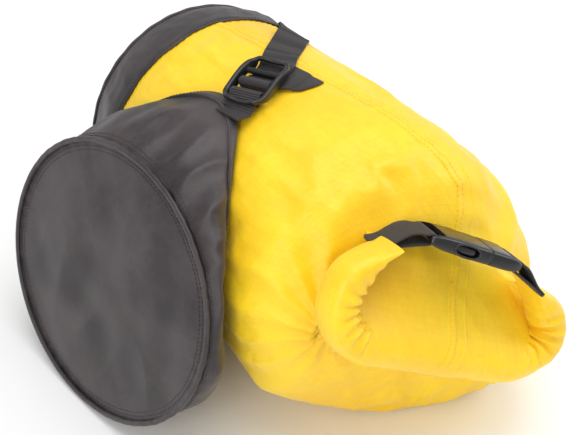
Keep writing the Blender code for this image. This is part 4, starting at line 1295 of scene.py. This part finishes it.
hem_share = np.linspace(0.875, 1.0, 12)[:, None]
hem_form = cap_wall(wall_turn, hem_share)
hem_clear = smooth((hem_form[..., 2] - 3 * MM) / (25 * MM))
scallop = 0.35 * np.sin(cap_turns * 120) + 0.8 * np.sin(cap_turns * 27 + 1) * (np.cos(cap_turns) < 0.9)
roll_up = np.sin(math.pi * np.linspace(0, 1, 12))[:, None]
hem_lumps = 0.3 * crumple(hem_form, 20 * MM, 37)
hem_lift = (0.5 + 0.35 * roll_up + 0.25 * scallop[None] * roll_up + hem_lumps) * hem_clear + 0.2
hem_lift = np.minimum(hem_lift, 1.1)
hem_outer = cap_wall(wall_turn, hem_share, -hem_lift * MM)
hem_inner = cap_wall(wall_turn, hem_share, 1.5 * MM)
cap_hem = woven("cap_mouth_hem_binding", hem_outer, CAP_TWILL, inner=hem_inner, wrap=True, sharp=60)

disc_shares = np.concatenate([np.linspace(0.015, 0.88, 40), np.linspace(0.9, 1.0, 12)])


def dome(share):
    return 5.0 * MM * (1 - share**2) + 1.0 * MM


disc_edge = cap_edge(cap_turns, 0.3 * MM)
disc = disc_rows(CAP_CENTRE, disc_edge, CAP_OUT, dome, lambda share: dome(share) - 1.4 * MM, disc_shares)
across_disc = np.concatenate([disc_shares, disc_shares[::-1]])[:, None]
inner_disc = 1 - across_disc**6
disc_creases = 1 - 2.4 * np.abs(crumple(disc, 48 * MM, 43, (1, 1, 2.2)))
disc_folds = 1.9 * crumple(disc, 62 * MM, 41) + 0.75 * crumple(disc, 24 * MM, 42) + 0.9 * disc_creases
uneven_edge = np.clip(0.4 + 0.9 * crumple(disc, 42 * MM, 45), 0.05, 1.0)
near_edge = np.exp(-(1 - across_disc) / 0.06) * smooth((1 - across_disc) / 0.02)
edge_gathers = np.sin(cap_turns[None] * 44 + 5.0 * crumple(disc, 44 * MM, 44)) * near_edge * 0.6 * uneven_edge
disc = disc + CAP_OUT * ((disc_folds - 0.8) * inner_disc + edge_gathers)[..., None] * MM
cap_top = woven("cap_round_top", disc, CAP_TWILL, wrap=True, poles=True, sharp=60)

ridge_turns = np.arange(720) / 720 * 2 * math.pi
ridge_rows = []
for turn in ridge_turns:
    wobble = 0.3 * math.sin(turn * 58) + 0.25 * math.sin(turn * 23 + 1)
    section = []
    for a, b in squircle(1.9, 1.35, 3.0, 14):
        section.append(cap_edge(turn, (0.1 + wobble * 0.4 - a) * MM, (2.6 + b + 0.2 * wobble) * MM))
    ridge_rows.append(section)
ridge = np.array(ridge_rows)
ridge[..., 2] = np.maximum(ridge[..., 2], 0.4 * MM)
cap_ridge = closed_tube("cap_edge_seam_ridge", ridge, CAP_TWILL)
for piece, node in (
    (cap_side, "cap_side_wall"),
    (cap_hem, "cap_mouth_hem"),
    (cap_top, "cap_flat_top"),
    (cap_ridge, "cap_edge_seam"),
):
    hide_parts(node)
    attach(piece, "cap")

# ------------------------------------------------------------------ cap loops
# A tab of the same webbing is sewn to the cap's wall at its mouth, under each ladderlock, and folded round the
# lock's first bar.


def cap_loop(name, lock, turn, shares):
    """Webbing that lies on the cap's wall, goes over the hem and folds round the first bar of a lock."""
    first = LOCK_BARS[0]
    line = []
    for share, lift in shares:
        spot = cap_wall(np.array(turn), np.array(share), np.array(-lift * MM))
        line.append(spot)
    line += [lock.at(first - 9.5, 0, 5.1), lock.at(first - 6.0, 0, 6.2)]
    for q in np.radians(np.linspace(140, -90, 12)):
        line.append(lock.at(first + WRAP_RADIUS * math.cos(q), 0, BAR_HEIGHT + WRAP_RADIUS * math.sin(q)))
    line += [lock.at(first - 3.5, 0, 2.95), lock.at(first - 6.5, 0, 2.8)]
    return webbing(name, curve_through(line, 200), lock.across)


top_loop = cap_loop("cap_loop_upper", TOP_LOCK, math.radians(-8), ((0.875, 2.2), (0.93, 2.4), (0.985, 3.0)))
low_loop = cap_loop("cap_loop_lower", LOW_LOCK, math.radians(217), ())
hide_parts("cap_loop_top")
tuple(TOP_LOCK.at(-24, 0, 4))
tuple(TOP_LOCK.at(-12.5, 0, 6))
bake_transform(top_loop)
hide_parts("cap_loop_low")
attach(low_loop, "cap")

# ------------------------------------------------------------------ stitching
# Rows of lockstitch in bonded thread hold the seams: yellow on the sack cloth, and black on the base and the
# cap. Every stitch is a short length of thread lying proud of the cloth.


def stitch_tree():
    """A Geometry Nodes tree that lays a short thread along each step of the lines it is given."""
    tree = bpy.data.node_groups.new("stitch_rows", "GeometryNodeTree")
    tree.interface.new_socket("Geometry", in_out="INPUT", socket_type="NodeSocketGeometry")
    for name, kind, value in (
        ("Stitch Pitch", "Float", 3.0 * MM),
        ("Thread Radius", "Float", 0.3 * MM),
        ("Thread Length", "Float", 2.3 * MM),
        ("Seed", "Int", 7),
    ):
        tree.interface.new_socket(name, in_out="INPUT", socket_type="NodeSocket" + kind).default_value = value
    tree.interface.new_socket("Thread", in_out="INPUT", socket_type="NodeSocketMaterial")
    tree.interface.new_socket("Geometry", in_out="OUTPUT", socket_type="NodeSocketGeometry")
    made = {}
    for key, kind in (
        ("in", "NodeGroupInput"),
        ("curve", "GeometryNodeMeshToCurve"),
        ("steps", "GeometryNodeCurveToPoints"),
        ("thread", "GeometryNodeMeshUVSphere"),
        ("size", "ShaderNodeCombineXYZ"),
        ("vary", "FunctionNodeRandomValue"),
        ("long", "ShaderNodeMath"),
        ("place", "GeometryNodeInstanceOnPoints"),
        ("real", "GeometryNodeRealizeInstances"),
        ("finish", "GeometryNodeSetMaterial"),
        ("out", "NodeGroupOutput"),
    ):
        made[key] = tree.nodes.new(kind)
    made["steps"].mode = "LENGTH"
    made["thread"].inputs["Segments"].default_value = 6
    made["thread"].inputs["Rings"].default_value = 4
    made["thread"].inputs["Radius"].default_value = 1.0
    made["vary"].inputs[2].default_value = 0.44
    made["vary"].inputs[3].default_value = 0.54
    made["long"].operation = "MULTIPLY"
    for source, out, target, into in (
        ("in", "Geometry", "curve", "Mesh"),
        ("curve", "Curve", "steps", "Curve"),
        ("in", "Stitch Pitch", "steps", "Length"),
        ("in", "Seed", "vary", "Seed"),
        ("vary", 1, "long", 0),
        ("in", "Thread Length", "long", 1),
        ("in", "Thread Radius", "size", 0),
        ("in", "Thread Radius", "size", 1),
        ("long", 0, "size", 2),
        ("steps", "Points", "place", "Points"),
        ("thread", "Mesh", "place", "Instance"),
        ("steps", "Rotation", "place", "Rotation"),
        ("size", 0, "place", "Scale"),
        ("place", "Instances", "real", "Geometry"),
        ("real", "Geometry", "finish", "Geometry"),
        ("in", "Thread", "finish", "Material"),
        ("finish", "Geometry", "out", "Geometry"),
    ):
        tree.links.new(made[source].outputs[out], made[target].inputs[into])
    return tree


STITCHES = stitch_tree()


def thread_finish(name, deep, pale):
    made, shader, place, _ = new_finish(name, 0.5, Sheen_Weight=0.15)
    plug_in(shader, "Base Color", tint(mottle(place, 700.0), deep, pale))
    fibres = mottle(place, 2500.0)
    plug_in(shader, "Normal", place.make("Bump", None, {"Strength": 0.3, "Distance": 0.0002, "Height": fibres}))
    return made


def stitched(name, lines, thread, body, pitch=3.0 * MM, radius=0.3 * MM, length=2.3 * MM):
    """Rows of stitches along lines of points. A line may close on itself."""
    points, edges = [], []
    for line, closed in lines:
        start = len(points)
        points += [tuple(p) for p in line]
        edges += [(start + i, start + i + 1) for i in range(len(line) - 1)]
        if closed:
            edges.append((start + len(line) - 1, start))
    mesh = bpy.data.meshes.new(name)
    mesh.from_pydata(points, edges, [])
    rows = bpy.data.objects.new(name, mesh)
    bpy.context.scene.collection.objects.link(rows)
    step = rows.modifiers.new("stitches", "NODES")
    step.node_group = STITCHES
    values = {"Stitch Pitch": pitch, "Thread Radius": radius, "Thread Length": length, "Seed": 7, "Thread": thread}
    for item in STITCHES.interface.items_tree:
        if item.in_out == "INPUT" and item.name in values:
            step[item.identifier] = values[item.name]
    graph = bpy.context.evaluated_depsgraph_get()
    plain_mesh = bpy.data.meshes.new_from_object(rows.evaluated_get(graph))
    rows.modifiers.clear()
    rows.data = plain_mesh
    plain_mesh.shade_smooth()
    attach(rows, body)
    return rows


def proud(outer, inner, lift):
    """A row of an outer skin, lifted along the way from the inner skin to it."""
    way = outer - inner
    return outer + way / np.linalg.norm(way, axis=-1, keepdims=True) * lift


YELLOW_THREAD = thread_finish("yellow_thread", (0.80, 0.44, 0.004), (0.95, 0.62, 0.02))
BLACK_THREAD = thread_finish("black_thread", (0.010, 0.008, 0.008), (0.030, 0.025, 0.026))
seam_lines = [(seam_rows[6:-4, column] + seam_out[6:-4] * 0.62 * MM, False) for column in (1, 5)]
stitched("long_seam_stitching", seam_lines, YELLOW_THREAD, "sack", 3.2 * MM, 0.26 * MM, 2.4 * MM)
band_rows = [(proud(band_outer[row], band_inner[row], 0.12 * MM), True) for row in (2, 27)]
panel_row = panel_points[29] + np.array((0, 0.15 * MM, 0))
stitched("base_stitching", [*band_rows, (panel_row, True)], BLACK_THREAD, "sack")
cap_lines = [(proud(wall_outer[row], wall_inner[row], 0.1 * MM), True) for row in (2, 4)]
cap_lines += [(disc[row] + CAP_OUT * 0.1 * MM, True) for row in (43, 46)]
cap_lines += [(proud(hem_outer[row], hem_inner[row], 0.1 * MM), True) for row in (2, 9)]
stitched("cap_stitching", cap_lines, BLACK_THREAD, "cap")

# ------------------------------------------------------------------ floor, lights and camera
# A pale studio floor with soft light from above, and the camera that looks down on the sack's front left.

floor_finish, floor_shader, floor_place, _ = new_finish("studio_floor", 0.85)
floor_tone = spread(mottle(floor_place, 3.0), 0.3, 0.7)
plug_in(floor_shader, "Base Color", tint(floor_tone, (0.90, 0.90, 0.90), (0.93, 0.93, 0.93)))
floor_mesh = bpy.data.meshes.new("studio_floor")
floor_mesh.from_pydata([(-6, -6, 0), (6, -6, 0), (6, 6, 0), (-6, 6, 0)], [], [(0, 1, 2, 3)])
floor_mesh.materials.append(floor_finish)
floor = bpy.data.objects.new("studio_floor", floor_mesh)
bpy.context.scene.collection.objects.link(floor)

LIGHTS = (
    ("soft_light_above", (0.1, 0.0, 1.5), 1.4, 12.5),
    ("soft_light_left", (-1.3, -0.9, 0.9), 1.1, 9.5),
    ("soft_light_right", (1.4, -0.3, 1.0), 1.0, 7.0),
)
for light_name, place, size, power in LIGHTS:
    light = bpy.data.lights.new(light_name, "AREA")
    light.shape = "DISK"
    light.size = size
    light.energy = power
    lamp = bpy.data.objects.new(light_name, light)
    bpy.context.scene.collection.objects.link(lamp)
    lamp.location = place
    lamp.rotation_euler = (Vector((0, 0, 0.1)) - Vector(place)).to_track_quat("-Z", "Y").to_euler()

world = bpy.data.worlds.new("studio_air")
world.use_nodes = True
world.node_tree.nodes["Background"].inputs["Color"].default_value = (1.0, 1.0, 1.0, 1)
world.node_tree.nodes["Background"].inputs["Strength"].default_value = 0.58
bpy.context.scene.world = world
bpy.context.scene.view_settings.view_transform = "Standard"

camera_data = bpy.data.cameras.new("camera")
camera_data.sensor_width = 36.0
camera_data.lens = 82.105
camera_data.clip_end = 20.0
camera = bpy.data.objects.new("camera", camera_data)
bpy.context.scene.collection.objects.link(camera)
camera.location = (-0.4081, -0.6297, 0.7041)
camera.rotation_euler = (math.radians(50), 0, math.radians(-33))
bpy.context.scene.camera = camera

bpy.context.view_layer.update()
